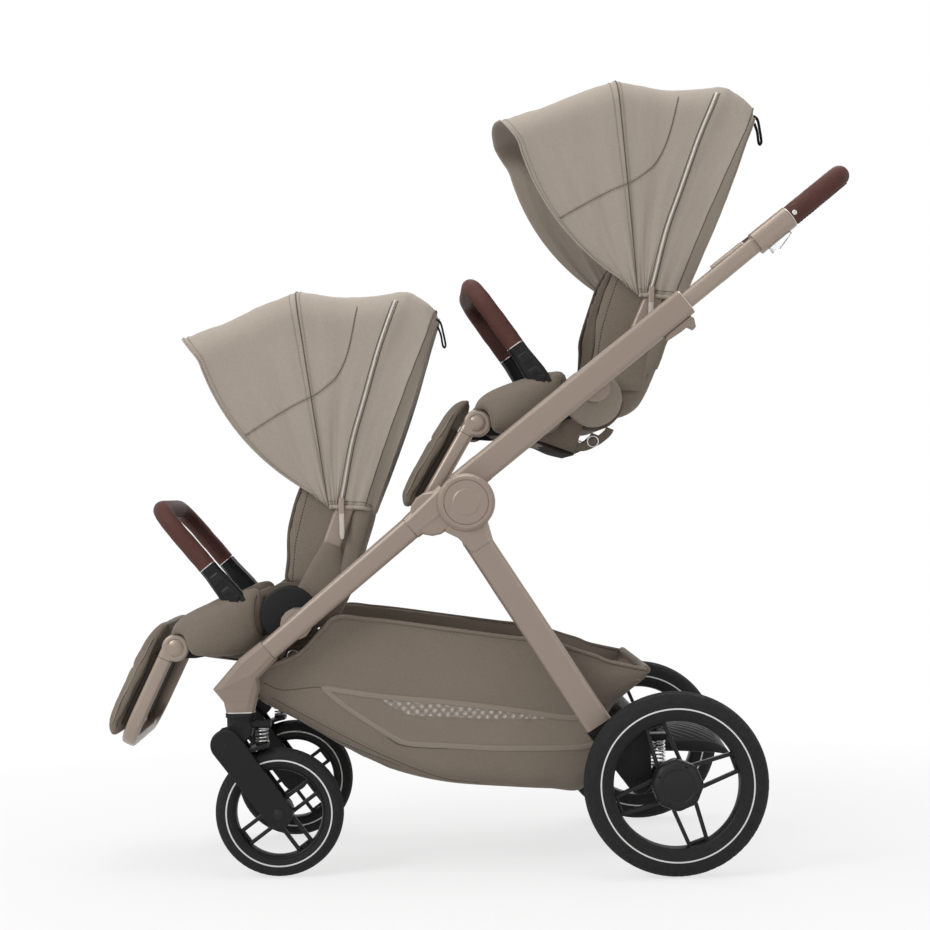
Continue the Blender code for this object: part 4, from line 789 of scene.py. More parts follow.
CANOPY_HALF = 0.1440
CANOPY_SPREAD = 0.0110
CANOPY_CORNER = 0.046
CANOPY_CROWN = 0.010
CANOPY_MIDDLE = Vector((0.06, 0, 0.25))
CANOPY_COLUMNS = 44
# Side view places of the cloth's base and crown from front to rear, and how far it bows forwards between
CANOPY_KEYS = [
    ((0.040, 0.188), (-0.160, 0.436), 0.026), ((0.044, 0.183), (-0.120, 0.453), 0.018),
    ((0.052, 0.176), (-0.076, 0.471), 0.010), ((0.060, 0.170), (-0.030, 0.490), 0.004),
    ((0.066, 0.165), (0.0205, 0.5055), 0.000), ((0.074, 0.164), (0.068, 0.5005), 0.002),
    ((0.077, 0.163), (0.116, 0.4965), 0.004), ((0.080, 0.163), (0.183, 0.5020), 0.008),
    ((0.101, 0.162), (0.212, 0.4965), 0.005), ((0.121, 0.160), (0.240, 0.4700), 0.003),
    ((0.133, 0.152), (0.2435, 0.4560), -0.004),
]
# Keys between which each panel of cloth is sewn, with its rows
PANELS = ((0, 4, 40), (4, 7, 24), (7, 9, 14), (9, 10, 5))
CANOPY_ZIP = [(80, 163), (88, 186), (105, 266), (125, 331), (151, 414), (178, 485)]
CANOPY_SEAM = [(-62, 282), (-30, 302), (10, 325), (50, 344), (72, 360), (84, 372), (97, 396), (106, 425),
               (114, 462), (118, 480)]
CANOPY_HEM = [(64, 166), (75, 165.5), (101, 164), (121, 162.5), (134, 156)]
PULL_LOOP = [(0.2420, -0.110, 0.458), (0.2485, -0.111, 0.452), (0.2525, -0.112, 0.435),
             (0.2555, -0.112, 0.418), (0.2540, -0.112, 0.4125), (0.2510, -0.112, 0.417),
             (0.2485, -0.111, 0.433), (0.2440, -0.110, 0.446)]


def canopy_arch(u, shares):
    """Left half of the arch at a place along the canopy, from its base to the crown."""
    k = min(int(u), len(CANOPY_KEYS) - 2)
    t = u - k
    rows = [CANOPY_KEYS[min(max(k + i, 0), len(CANOPY_KEYS) - 1)] for i in (-1, 0, 1, 2)]

    def blended(pick):
        a, b, c, d = (pick(row) for row in rows)
        if k in (0, 4):
            a = 2 * b - c
        if k in (3, len(CANOPY_KEYS) - 2):
            d = 2 * c - b
        return 0.5 * (2 * b + (c - a) * t + (2 * a - 5 * b + 4 * c - d) * t * t + (3 * b - a - 3 * c + d) * t ** 3)

    base = Vector((blended(lambda r: r[0][0]), 0, blended(lambda r: r[0][1])))
    tip = Vector((blended(lambda r: r[1][0]), 0, blended(lambda r: r[1][1])))
    bow = blended(lambda r: r[2])
    length = (tip - base).length
    along = (tip - base).normalized()
    square = Vector((along.z, 0, -along.x))
    past = max(0.0, u - 9)
    top_half = CANOPY_HALF + CANOPY_SPREAD - 0.010 * past
    wall = length - CANOPY_CORNER
    turn = CANOPY_CORNER * math.pi / 2
    flat_run = top_half - CANOPY_CORNER
    made = []
    for share in shares:
        run = share * (wall + turn + flat_run)
        if run < wall:
            rise = run / wall
            spread = math.sin(math.pi * 0.5 * min(1.0, rise * 1.25))
            width = CANOPY_HALF + CANOPY_SPREAD * spread - 0.012 * past
            made.append(base + along * run - square * 4 * bow * rise * (1 - rise) + Vector((0, -width, 0)))
        elif run < wall + turn:
            angle = (run - wall) / CANOPY_CORNER
            made.append(base + along * (wall + CANOPY_CORNER * math.sin(angle))
                        + Vector((0, -(flat_run + CANOPY_CORNER * math.cos(angle)), 0)))
        else:
            across = flat_run - (run - wall - turn)
            lift = CANOPY_CROWN * (1 - (across / max(flat_run, 1e-6)) ** 2)
            made.append(base + along * (length + lift) + Vector((0, -across, 0)))
    return made


def canopy_rest(u, share):
    """How slack the cloth is: none on a rib, most between two of them."""
    for start, end, _ in PANELS:
        if start <= u <= end:
            slack = math.sin(math.pi * (u - start) / (end - start)) ** 0.8
            return slack * min(1.0, share * 4) * (0.0042 if start == 0 else 0.0030)
    return 0.0


def mirrored_row(left):
    """Whole row across from its left half, which ends in the middle."""
    return left + [Vector((p.x, -p.y, p.z)) for p in reversed(left[:-1])]


def build_canopy_sheet():
    """One sewn sheet over the ribs, with its closed back, in seat axes."""
    columns = CANOPY_COLUMNS
    shares = [k / columns for k in range(columns + 1)]
    stops = [start + (end - start) * k / count for start, end, count in PANELS for k in range(count)] + [10]
    grid = [mirrored_row(canopy_arch(u, shares)) for u in stops]
    width = len(grid[0])
    moved = []
    for i, row in enumerate(grid):
        line = []
        for j, point in enumerate(row):
            ahead = grid[min(i + 1, len(grid) - 1)][j] - grid[max(i - 1, 0)][j]
            along = row[min(j + 1, width - 1)] - row[max(j - 1, 0)]
            normal = along.cross(ahead).normalized()
            if normal.dot(point - CANOPY_MIDDLE) < 0:
                normal = -normal
            share = 1 - abs(j - columns) / columns
            fold = noise.noise(Vector((stops[i] * 1.3, share * 3.0, 2.0 if j < columns else 9.0)))
            fine = noise.noise(Vector((stops[i] * 4.0, share * 7.0, 5.0 if j < columns else 14.0)))
            edge = min(1.0, stops[i] * 2.0)
            pull = math.exp(-share * 9) * math.sin(stops[i] * 9.0 + share * 6) * 0.0011
            line.append(point - normal * canopy_rest(stops[i], share)
                        + normal * edge * (0.0022 * fold + 0.0007 * fine + pull))
        moved.append(line)
    builder = bmesh.new()
    verts = [[builder.verts.new(point) for point in row] for row in moved]
    last = moved[-1]
    steps = 18
    panel = [verts[-1][:columns + 1]]
    for k in range(1, steps):
        row = []
        for j in range(columns):
            share = k / steps
            across = math.sin(math.pi * share)
            bulge = 0.005 * across * math.sin(math.pi * min(1.0, 0.15 + j / columns * 0.85))
            fold = 0.002 * noise.noise(Vector((share * 4, j / columns * 5, 3)))
            point = last[j].lerp(last[-1 - j], share) + Vector((0.94, 0, -0.33)) * (bulge + fold * across)
            row.append(builder.verts.new(point))
        panel.append(row + [verts[-1][columns]])
    panel.append([verts[-1][width - 1 - j] for j in range(columns + 1)])
    for rows in (verts, panel):
        for a, b in zip(rows, rows[1:]):
            for j in range(len(a) - 1):
                corners = list(dict.fromkeys([a[j], a[j + 1], b[j + 1], b[j]]))
                if len(corners) > 2:
                    builder.faces.new(corners)
    return dressed("sheet", builder, "canopy"), moved, stops


def build_canopy(prefix):
    """Canopy sheet with its seams, piping, zip and hems."""
    sheet, grid, stops = build_canopy_sheet()
    tree = tree_of(sheet)
    pieces = []

    def row_line(u, lift):
        i = min(range(len(stops)), key=lambda k: abs(stops[k] - u))
        return snapped(tree, grid[i], lift, CANOPY_MIDDLE)

    for u, radius, look in ((0, 0.0014, "canopy"), (4, 0.0008, "binding"), (9, 0.0008, "binding"),
                            (10, 0.0011, "canopy")):
        path = curve_through(row_line(u, radius * 0.35)[0], 0.004)
        pieces.append(swept("hem", path, disc(radius, 8), look))
    for u in (3.84, 4.16, 0.192):
        pieces.append(stitch_rows(*row_line(u, 0.0004), "thread"))

    for side in (-1, 1):
        def roll(name, line, right, up, lift, radius, look, count=6):
            path = dropped(tree, [(x + right, z + up) for x, z in line], side, lift)[0]
            pieces.append(swept(name, path, disc(radius, count), look))

        zip_line = side_line(CANOPY_ZIP)
        roll("zip", zip_line, 0.0, 0.0, 0.0006, 0.0020, "zip", 8)
        for offset in (-0.0042, 0.0046):
            roll("zip_edge", zip_line, offset, 0.0, 0.0001, 0.0007, "binding")
        seam = side_line(CANOPY_SEAM)
        for offset in (0.0, 0.0042):
            line = [(x + offset * 0.3, z - offset) for x, z in seam]
            pieces.append(stitch_rows(*dropped(tree, line, side), "thread"))
        roll("seam", seam, 0.0006, -0.0021, -0.0001, 0.0006, "binding")
        low = side_line(CANOPY_HEM)
        roll("hem_roll", low, 0.0, 0.0, 0.0006, 0.0033, "canopy", 10)
        roll("hem_seam", low, 0.0, 0.0088, -0.0001, 0.0006, "binding")

    canopy = merged(prefix + "canopy", thickened(sheet, 0.0014), *pieces)
    canopy.data.transform(seat_matrix(prefix, True))
    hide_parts(prefix + "canopy_front", prefix + "canopy_rear")
    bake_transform(canopy)


def build_zip_puller(name, side):
    """Slider, neck and tab at the low end of a zip."""
    top = Vector((0.0860, side * 0.1490, 0.170))
    down = Vector((0.0, side * 0.03, -1)).normalized()

    def strip(start, step, count, section, look, scale=None):
        path = [top + down * (start + step * k) for k in range(count)]
        return swept("strip", path, rounded(*section, 3), look, up=(0, side, 0), scale=scale)

    return merged(
        name, strip(-0.009, 0.003, 9, (0.0090, 0.0040, 0.0015), "bright_tube"),
        strip(0.010, 0.003, 4, (0.0046, 0.0018, 0.0008), "bright_tube"),
        strip(0.015, 0.004, 11, (0.0078, 0.0022, 0.0010), "zip",
              lambda t: 1.0 if t < 0.85 else 1.0 - (t - 0.85) * 3.5))


for prefix in SEATS:
    build_canopy(prefix)
    for tag, side in SIDES:
        placed(build_zip_puller(prefix + "zip_puller_" + tag, side), seat_matrix(prefix, True), prefix + "back")
    loop = swept(prefix + "pull_loop", curve_through(PULL_LOOP, 0.002), rounded(0.0030, 0.0090, 0.0012, 3),
                 "webbing", up=(0, 1, 0))
    placed(loop, seat_matrix(prefix, True), prefix + "back")


# Seats

SEAT_HALF = 0.1345
# Stations up the backrest and along the cushion: x, z, depth of the bolsters and of the floor
BACKREST = [
    (0.040, -0.030, 0.066, 0.040), (0.070, -0.008, 0.096, 0.040), (0.092, 0.036, 0.110, 0.030),
    (0.110, 0.084, 0.124, 0.026), (0.129, 0.142, 0.128, 0.026), (0.1345, 0.172, 0.122, 0.024),
    (0.154, 0.240, 0.098, 0.026), (0.182, 0.325, 0.069, 0.026), (0.206, 0.400, 0.045, 0.024),
    (0.215, 0.430, 0.034, 0.020),
]
LINER = [(0.052, 0.020), (0.078, 0.070), (0.097, 0.130), (0.108, 0.190), (0.128, 0.260), (0.152, 0.330),
         (0.176, 0.395)]
CUSHION = [
    (-0.166, -0.044, 0.026, 0.020), (-0.154, -0.056, 0.048, 0.038), (-0.138, -0.062, 0.072, 0.050),
    (-0.100, -0.068, 0.092, 0.054), (-0.072, -0.071, 0.106, 0.054), (-0.050, -0.072, 0.114, 0.052),
]
HIP_TOP = [(-0.187, -0.030), (-0.179, -0.011), (-0.158, 0.005), (-0.134, 0.014), (-0.100, 0.028),
           (-0.062, 0.041), (-0.040, 0.045)]
HIP_BOTTOM = [(-0.1865, -0.0315), (-0.1690, -0.0265), (-0.1560, -0.0420), (-0.1520, -0.0590),
              (-0.1200, -0.0640), (-0.0930, -0.0650), (-0.0620, -0.0560), (-0.0400, -0.0360)]
HIP_EDGE = [(-0.043, 0.165, 0.036), (-0.047, 0.168, 0.020), (-0.049, 0.168, 0.000), (-0.046, 0.166, -0.020),
            (-0.036, 0.160, -0.036)]
HIP_Y = 0.1300
RING_CENTRE = (0.004, -0.0660)
RING_RADIUS = 0.0085


def tub_section(half, depth, wall, floor, count=56):
    """Closed section of a padded tub: crowned floor between rounded bolsters."""
    outline = [
        (-half * 0.50, 0.0), (-half + 0.012, 0.001), (-half + 0.001, 0.010), (-half, depth * 0.45),
        (-half + wall * 0.12, depth * 0.86), (-half + wall * 0.45, depth), (-half + wall * 0.9, depth * 0.90),
        (-half + wall * 1.12, depth * 0.62 + floor * 0.2), (-half + wall * 1.5, floor * 1.10),
        (-half * 0.45, floor * 1.05), (0.0, floor * 1.10),
    ]
    outline += [(-a, b) for a, b in reversed(outline[:-1])]
    outline.append((0.0, 0.0))
    path = curve_through([(a, b, 0) for a, b in outline], 0.002, closed=True)
    step = len(path) / count
    return [(path[int(k * step)].x, path[int(k * step)].y) for k in range(count)]


def tub(name, stations, wall, look, grow=0.0):
    """Padded tub through stations, lowest first."""
    spots = [Vector((x, 0, z)) for x, z, _, _ in stations]
    points = curve_through(spots, 0.010)
    rings = []
    last = len(points) - 1
    for i, point in enumerate(points):
        ahead, behind = points[min(i + 1, last)], points[max(i - 1, 0)]
        nearest = min(range(len(spots)), key=lambda k: (spots[k] - point).length)
        if i and (spots[nearest] - point).dot(ahead - behind) > 0:
            low, high = max(nearest - 1, 0), nearest
        else:
            low, high = nearest, min(nearest + 1, len(spots) - 1)
        span = (spots[high] - spots[low]).length
        share = 0.0 if span < 1e-6 else min(max((point - spots[low]).length / span, 0.0), 1.0)
        depth, floor = (a + (b - a) * share for a, b in zip(stations[low][2:], stations[high][2:]))
        tangent = (ahead - behind).normalized()
        front = Vector((tangent.z, 0, -tangent.x))
        if (front.x > 0 and abs(front.x) > abs(front.z)) or (front.z < 0 and abs(front.z) > abs(front.x)):
            front = -front
        section = tub_section(SEAT_HALF - grow, depth, wall, floor)
        rings.append([point + Vector((0, a, 0)) + front * b for a, b in section])
    return ringed(name, rings, look)


def build_backrest():
    """Backrest shell with wings, its liner pad, bindings and seams, in seat axes."""
    shell = tub("backrest", BACKREST, 0.022, "seat", 0.002)
    swollen(shell, 0.004, 4.0, 0.006)
    creased(shell, 0.0030, 9.0, 3.0, 0.6)
    tree = tree_of(shell)
    pieces = [shell]
    for side in (-1, 1):
        def wing_line(ahead, y, up, lift):
            line = [(x - depth * ahead, side * y, z + depth * up) for x, z, depth, floor in BACKREST[1:]]
            return snapped(tree, curve_through(line, 0.006), lift)

        lip = curve_through(wing_line(0.96, SEAT_HALF - 0.010, 0.25, 0.0010)[0][::4], 0.005)
        pieces.append(swept("binding", lip, disc(0.0030, 8), "binding"))
        pieces.append(stitch_rows(*wing_line(0.80, SEAT_HALF, 0.2, 0.0002), "dark_thread"))
    roll = [Vector((0, -SEAT_HALF + 0.001 + 0.008 * k, 0)) for k in range(34)]
    pieces.append(swept("roll", roll, disc(0.0495, 40), "liner", up=(0, 0, 1)))
    line = side_curve(LINER, 0.006)
    pad = swept("liner", line, rounded(0.196, 0.026, 0.0125, 6), "liner", up=(-0.95, 0, 0.3),
                scale=lambda t: 0.93 + 0.07 * math.sin(math.pi * t))
    swollen(pad, 0.005, 4.0, 0.005)
    stops = [int(k * (len(line) - 1) / 7) for k in range(1, 7)]
    channels(pad, [(line[k], (line[k + 1] - line[k]).normalized(), lambda p: True) for k in stops],
             0.0035, 0.0042)
    return pieces + [pad]


def build_cushion():
    """Seat cushion with its hip bolsters, in seat axes."""
    cushion = tub("cushion", CUSHION, 0.028, "seat", 0.002)
    swollen(cushion, 0.005, 4.0, 0.006)
    lines = [(Vector((x, 0, 0)), Vector((1, 0, 0)), lambda p: abs(p.y) < 0.085 and p.z > -0.03)
             for x in (-0.135, -0.105, -0.075)]
    channels(cushion, lines, 0.0035, 0.0040)
    creased(cushion, 0.0026, 10.0, 8.0)
    nose = [Vector((-0.165, -0.1335 + 0.0089 * k, -0.038)) for k in range(31)]
    return [cushion, swept("nose", nose, disc(0.0145, 28), "liner", up=(0, 0, 1))]


def stuffed(name, first, second, side, y, steps, look, swell, pinch=lambda share: 1.0):
    """Stuffed cloth between two side view lines; swell gives its thickness outwards from y."""
    first_line, second_line = side_curve(first), side_curve(second)
    rings = []
    for k in range(steps + 1):
        share = k / steps
        start = first_line[round(share * (len(first_line) - 1))]
        end = second_line[round(share * (len(second_line) - 1))]
        ring = []
        for j in range(28):
            angle = 2 * math.pi * j / 28
            spot = start.lerp(end, 0.5 - 0.5 * math.cos(angle) * pinch(share))
            ring.append(Vector((spot.x, side * (y + swell(share, math.sin(angle))), spot.z)))
        rings.append(ring)
    return ringed(name, rings, look)


def hip_panel(side):
    """Stuffed side panel that hides the seat's rail, from the legrest hinge to the hub."""
    def swell(share, rise):
        thick = max(0.006, 0.0500 * math.sin(math.pi * min(1.0, 0.10 + share * 0.85)) ** 0.55)
        return thick * rise ** 0.40 if rise > 0 else 0.004 * rise

    def pinch(share):
        return 1 - 0.45 * max(0.0, (share - 0.93) / 0.07) ** 2

    return stuffed("hip", HIP_BOTTOM, HIP_TOP, side, HIP_Y, 34, "seat", swell, pinch)


def ribbon(name, front, rear, side, y, out, look):
    """Stuffed band of cloth between two side view lines."""
    return stuffed(name, front, rear, side, y, 16, look,
                   lambda share, rise: out * rise ** 0.6 if rise > 0 else 0.003 * rise)


def build_back_side(side):
    """Frame arm of the backrest in its cloth sleeve, and the cloth from there to the rear."""
    cloth = ribbon("sleeve", [(0.000, 0.016), (0.012, 0.039), (0.034, 0.076), (0.0548, 0.1122)],
                   [(0.078, 0.016), (0.084, 0.044), (0.087, 0.076), (0.0845, 0.1020)], side, 0.1335, 0.0125,
                   "seat")
    creased(cloth, 0.0018, 30.0, 4.0)
    high = side_curve([(0.0625, 0.085), (0.0695, 0.107), (0.0885, 0.157), (0.0950, 0.174)], 0.006,
                      y=side * 0.1360)
    metal = swept("arm", high, rounded(0.0120, 0.0300, 0.0057, 6), "tube", up=(-0.94, 0, 0.34))
    cover = ribbon(
        "cover", [(0.060, 0.030), (0.0745, 0.062), (0.0870, 0.098), (0.0985, 0.130), (0.1060, 0.160)],
        [(0.100, 0.052), (0.108, 0.072), (0.119, 0.105), (0.1300, 0.140), (0.1350, 0.158)], side, 0.1330,
        0.0095, "seat")
    creased(cover, 0.0028, 26.0, 6.0, 0.7)
    return [cloth, metal, cover]


def build_harness():
    """Five point harness: pads on the backrest, lap straps and a buckle."""
    pieces = []
    tape = rounded(0.024, 0.0018, 0.0008, 3)
    for side in (-1, 1):
        line = curve_through([(0.118, side * 0.052, 0.290), (0.094, side * 0.050, 0.236),
                              (0.075, side * 0.044, 0.170), (0.050, side * 0.036, 0.110),
                              (0.014, side * 0.026, 0.060), (-0.030, side * 0.012, 0.020)], 0.006)
        pieces.append(swept("strap", line, tape, "webbing", up=(-0.85, 0, 0.4)))
        pieces.append(swept("pad", line[2:int(len(line) * 0.62)], rounded(0.042, 0.013, 0.006, 5), "liner",
                            up=(-0.85, 0, 0.4)))
        lap = curve_through([(0.020, side * 0.108, 0.000), (0.000, side * 0.075, 0.014),
                             (-0.026, side * 0.016, 0.014)], 0.006)
        pieces.append(swept("lap", lap, tape, "webbing", up=(-0.4, 0, 0.9)))
    crotch = side_curve([(-0.078, -0.012), (-0.062, 0.002), (-0.040, 0.010)], 0.005)
    pieces.append(swept("crotch", crotch, rounded(0.030, 0.0100, 0.0045, 4), "liner", up=(-0.3, 0, 0.9)))
    buckle = [Vector((-0.050 + 0.004 * k, 0, 0.010 + 0.0035 * k)) for k in range(11)]
    pieces.append(swept("buckle", buckle, rounded(0.044, 0.016, 0.006, 5), "black", up=(-0.6, 0, 0.7),
                        scale=lambda t: 0.82 + 0.18 * math.sin(math.pi * t)))
    return pieces


def build_seat_side(side):
    """Hip panel with its edge, the box below it, and a strap with a ring."""
    hip = hip_panel(side)
    swollen(hip, 0.003, 3.0, 0.005, 10)
    creased(hip, 0.0022, 16.0, side * 3.0)
    edge = curve_through([(x, side * y, z) for x, y, z in HIP_EDGE], 0.004)
    box = ribbon("box_side", [(-0.100, -0.044), (-0.060, -0.034), (-0.008, -0.024)],
                 [(-0.100, -0.066), (-0.075, -0.071), (-0.024, -0.086)], side, 0.136, 0.0115, "liner")
    strap = side_curve([(-0.030, -0.070), (-0.012, -0.076), (0.010, -0.066), (0.026, -0.052),
                        (0.030, -0.044)], y=side * 0.141)
    loop = [Vector((RING_CENTRE[0] + a, side * 0.1435, RING_CENTRE[1] + b)) for a, b in disc(RING_RADIUS, 24)]
    return [
        hip, swept("edge", snapped(tree_of(hip), edge, 0.0006)[0], disc(0.0016, 8), "binding"), box,
        swept("strap", strap, rounded(0.0130, 0.0030, 0.0012, 3), "liner", up=(0, 1, 0)),
        swept("ring", loop, disc(0.0013, 8), "steel", up=(0, 1, 0), closed=True),
    ]


def build_seat_cloths():
    """Soft pieces of one seat, built and settled once."""
    back = build_backrest()
    cushion = build_cushion()
    for side in (-1, 1):
        cushion += build_seat_side(side)
        back += build_back_side(side)
    outline = side_curve([(-0.152, -0.056), (-0.110, -0.064), (-0.080, -0.071), (-0.050, -0.082),
                          (-0.024, -0.087)], 0.006)
    section = rounded(2 * SEAT_HALF + 0.004, 0.0045, 0.002, 3)
    cushion.append(ringed("base", [[point + Vector((0, a, b)) for a, b in section] for point in outline],
                          "lining_and_painted_shade"))
    cushion.append(swept("under", [p + Vector((0, 0, 0.022)) for p in outline[6:]],
                         rounded(2 * SEAT_HALF - 0.004, 0.042, 0.010, 4), "liner", up=(0, 0, 1)))
    return merged("back_cloth", *back), merged("cushion_cloth", *cushion), merged("harness", *build_harness())


seat_cloths = build_seat_cloths()
for prefix, (hub, tilt, back_tilt, body) in SEATS.items():
    back, cushion, straps = (copied(piece, prefix + name) for piece, name in zip(
        seat_cloths, ("backrest_cloth", "seat_cushion", "harness")))
    placed(back, seat_matrix(prefix, True), prefix + "back", prefix + "backrest")
    placed(cushion, seat_matrix(prefix), body, prefix + "seat_base")
    placed(straps, seat_matrix(prefix, True), prefix + "back")
for piece in seat_cloths:
    bpy.data.objects.remove(piece)


# Legrests

LEGREST_HINGE = Vector((-0.178, 0, -0.048))
LEGREST_FOOT = Vector((-0.260, 0, -0.196))
LEGREST_OFFSET = 0.008
LEGREST_Y = 0.1514
LEGREST_FRONT = 0.0184
LEGREST_CORNER = 0.050
RIB_PITCH = 0.0052
DISC_HALF = 0.00725
LEGREST_DISC = [
    (0.0, -0.0004), (0.0118, -0.0004), (0.0126, -0.0014), (0.0134, -0.0014), (0.0142, 0.0), (0.0185, 0.0),
    (0.0207, -0.0012), (0.0215, -0.0034), (0.0215, -2 * DISC_HALF), (0.0, -2 * DISC_HALF),
]


def build_legrest():
    """Padded calf rest with its mesh sides, binding and cross seams, and the flat tube frame."""
    offset = LEGREST_FOOT - LEGREST_HINGE
    length = offset.length
    way = Matrix.Rotation(-math.asin(LEGREST_OFFSET / length), 3, "Y") @ offset.normalized()
    out = Vector((way.z, 0, -way.x))
    top = LEGREST_FOOT - way * length
    stations = [
        (-0.030, 0.004, 0.128), (-0.022, 0.012, 0.130), (0.004, 0.019, 0.131), (0.026, 0.021, 0.140),
        (0.050, 0.022, 0.146), (0.30 * length, 0.022, 0.147), (0.62 * length, 0.022, 0.147),
        (length - 0.030, 0.020, 0.146), (length - 0.008, 0.016, 0.142), (length + 0.002, 0.008, 0.136),
    ]
    rings = []
    for along, thick, half in curve_through(stations, 0.005):
        base = top + way * along + out * LEGREST_FRONT
        rings.append([base + Vector((0, a, 0)) + out * (b + thick / 2)
                      for a, b in rounded(2 * half, thick, min(thick * 0.48, 0.010), 5)])
    pad = ringed("pad", rings, "seat")
    swollen(pad, 0.005, 5.0, 0.005)
    lines = [(top + way * (0.055 + 0.042 * k), way, lambda p: abs(p.y) < 0.125 and (p - top).dot(out) > 0.028)
             for k in range(3)]
    channels(pad, lines, 0.0030, 0.0034)
    creased(pad, 0.0018, 14.0, 5.0)
    for vertex in pad.data.vertices:
        off = vertex.co - top
        if abs(vertex.co.y) > 0.137 and 0.003 < off.dot(out) - LEGREST_FRONT < 0.018:
            rib = math.sin(off.dot(way) * 2 * math.pi / RIB_PITCH)
            vertex.co.y += math.copysign(0.0006, vertex.co.y) * rib
    tree = tree_of(pad)
    pieces = [pad]
    for side in (-1, 1):
        for depth, radius, wave, look in ((0.0190, 0.0012, 0.0, "light_binding"),
                                          (0.0030, 0.0017, 0.0007, "binding")):
            line = [top + way * (0.006 * k) + out * (LEGREST_FRONT + depth) + Vector((0, side * 0.150, 0))
                    for k in range(int(length / 0.006))]
            path = [p + Vector((0, side * wave * math.sin(i * 1.9), 0))
                    for i, p in enumerate(snapped(tree, line, 0.0004)[0])]
            pieces.append(swept("binding", curve_through(path[::2], 0.004), disc(radius, 8), look))
    # Dark board between the arms behind the pad: a panel whose dark tone is painted shade in the gap
    painted_shade_board = [top + way * (0.026 + 0.006 * k) + out * (LEGREST_FRONT - 0.006)
             for k in range(int((length - 0.040) / 0.006))]
    pieces.append(swept("painted_shade_board", painted_shade_board, rounded(0.284, 0.016, 0.006, 4), "lining_and_painted_shade", up=out))
    cushion = merged("legrest_pad_cloth", *pieces)

    low = LEGREST_FOOT - way * LEGREST_CORNER
    beside = Vector((0, LEGREST_Y, 0))
    line = [(top + beside).lerp(low + beside, k / 12) for k in range(13)]
    middle = low + beside - Vector((0, LEGREST_CORNER, 0))
    for k in range(1, 13):
        angle = math.pi / 2 * k / 12
        line.append(middle + LEGREST_CORNER * (way * math.sin(angle) + Vector((0, math.cos(angle), 0))))
    line += [Vector((p.x, -p.y, p.z)) for p in reversed(line)]
    pieces = [swept("tube", line, rounded(0.0140, 0.0240, 0.0068, 6), "bright_tube", up=out)]
    for side in (-1, 1):
        pieces.append(turned("disc", LEGREST_DISC, (LEGREST_HINGE.x, LEGREST_Y + DISC_HALF, LEGREST_HINGE.z),
                             "bright_tube", steps=72, side=side))
        seam = [top + way * (0.0235 + 0.0007 * k) + Vector((0, side * LEGREST_Y, 0)) for k in range(2)]
        pieces.append(swept("seam", seam, rounded(0.0143, 0.0243, 0.0068, 6), "black", up=out))
    return cushion, merged("legrest_tube", *pieces)


legrest_pad, legrest_tube = build_legrest()
for prefix in SEATS:
    cushion = copied(legrest_pad, prefix + "legrest_cushion")
    placed(cushion, seat_matrix(prefix), prefix + "legrest", prefix + "legrest_pad")
    placed(copied(legrest_tube, prefix + "legrest_tube"), seat_matrix(prefix), prefix + "legrest",
           prefix + "legrest_frame")
bpy.data.objects.remove(legrest_pad)
bpy.data.objects.remove(legrest_tube)


# Bumper bars

SOCKET_LOW = Vector((-0.084, 0, 0.024))
SOCKET_TOP = Vector((-0.125, 0, 0.076))
SOCKET_WAY = (SOCKET_TOP - SOCKET_LOW).normalized()
BUMPER_Y = 0.150
BUMPER_RADIUS = 0.0143
BUMPER_FRONT = Vector((-0.210, 0, 0.178)) - Vector((-0.0145, 0, 0.0145)) * 0.7
SOCKET_FACE = 0.0144
# Plates on a socket: place up the socket, length, width, rise, look and corner
SOCKET_PLATES = (
    (0.016, 0.0150, 0.0155, 0.0012, "black_metal", 0.0022), (0.016, 0.0105, 0.0110, 0.0020, "black", 0.0022),
    (0.043, 0.0160, 0.0170, 0.0012, "black_metal", 0.0022), (0.0385, 0.0016, 0.0130, 0.0022, "black", 0.0007),
    (0.0430, 0.0016, 0.0130, 0.0022, "black", 0.0007), (0.0475, 0.0016, 0.0130, 0.0022, "black", 0.0007),
)


def bent(corners, radius, steps=10, spacing=0.006):
    """Polyline with round bends at its inner corners."""
    points = [Vector(p) for p in corners]
    made = [points[0]]
    for a, b, c in zip(points, points[1:], points[2:]):
        first = (a - b).normalized()
        second = (c - b).normalized()
        reach = min(radius / math.tan(first.angle(second) / 2), (a - b).length * 0.49, (c - b).length * 0.49)
        start, end = b + first * reach, b + second * reach
        for k in range(steps + 1):
            t = k / steps
            made.append(start * (1 - t) ** 2 + b * 2 * t * (1 - t) + end * t * t)
    made.append(points[-1])
    even = [made[0]]
    for a, b in zip(made, made[1:]):
        count = max(1, round((b - a).length / spacing))
        even += [a.lerp(b, (k + 1) / count) for k in range(count)]
    return even


def build_bumper():
    """Stitched leather bar with its silver collars and plugs, in seat axes."""
    way = SOCKET_WAY
    start = SOCKET_TOP + way * 0.0003
    across = Vector((0, BUMPER_Y, 0))
    line = bent([start + across, BUMPER_FRONT + across, BUMPER_FRONT - across, start - across], 0.085, 14, 0.005)
    up = Vector((-way.z, 0, way.x))
    bar = swept("bar", line, disc(BUMPER_RADIUS, 32), "leather", up=up)
    creased(bar, 0.0006, 60.0, 2.0)
    pieces = [bar]
    tree = tree_of(bar)
    for offset in (-0.0026, 0.0026):
        seam = []
        for i, point in enumerate(line[2:-2]):
            tangent = (line[i + 3] - line[i + 1]).normalized()
            inside = Vector((start.x + 0.03, 0, start.z - 0.03)) - point
            inside -= tangent * inside.dot(tangent)
            inside.normalize()
            seam.append(point + inside * BUMPER_RADIUS + tangent.cross(inside) * offset)
        pieces.append(stitch_rows(*snapped(tree, seam, 0.0001), "dark_thread", 0.0034, 0.0016, 0.0006))
    for side in (-1, 1):
        root = start + across * side
        pieces.append(swept("collar", [root + way * (0.0002 + 0.0007 * k) for k in range(3)],
                            disc(0.01465, 32), "silver", up=up))
        pieces.append(swept("plug", [root - way * (0.0235 - 0.0047 * k) for k in range(6)], disc(0.0079, 24),
                            "black_metal", up=up))
    return merged("bumper", *pieces)


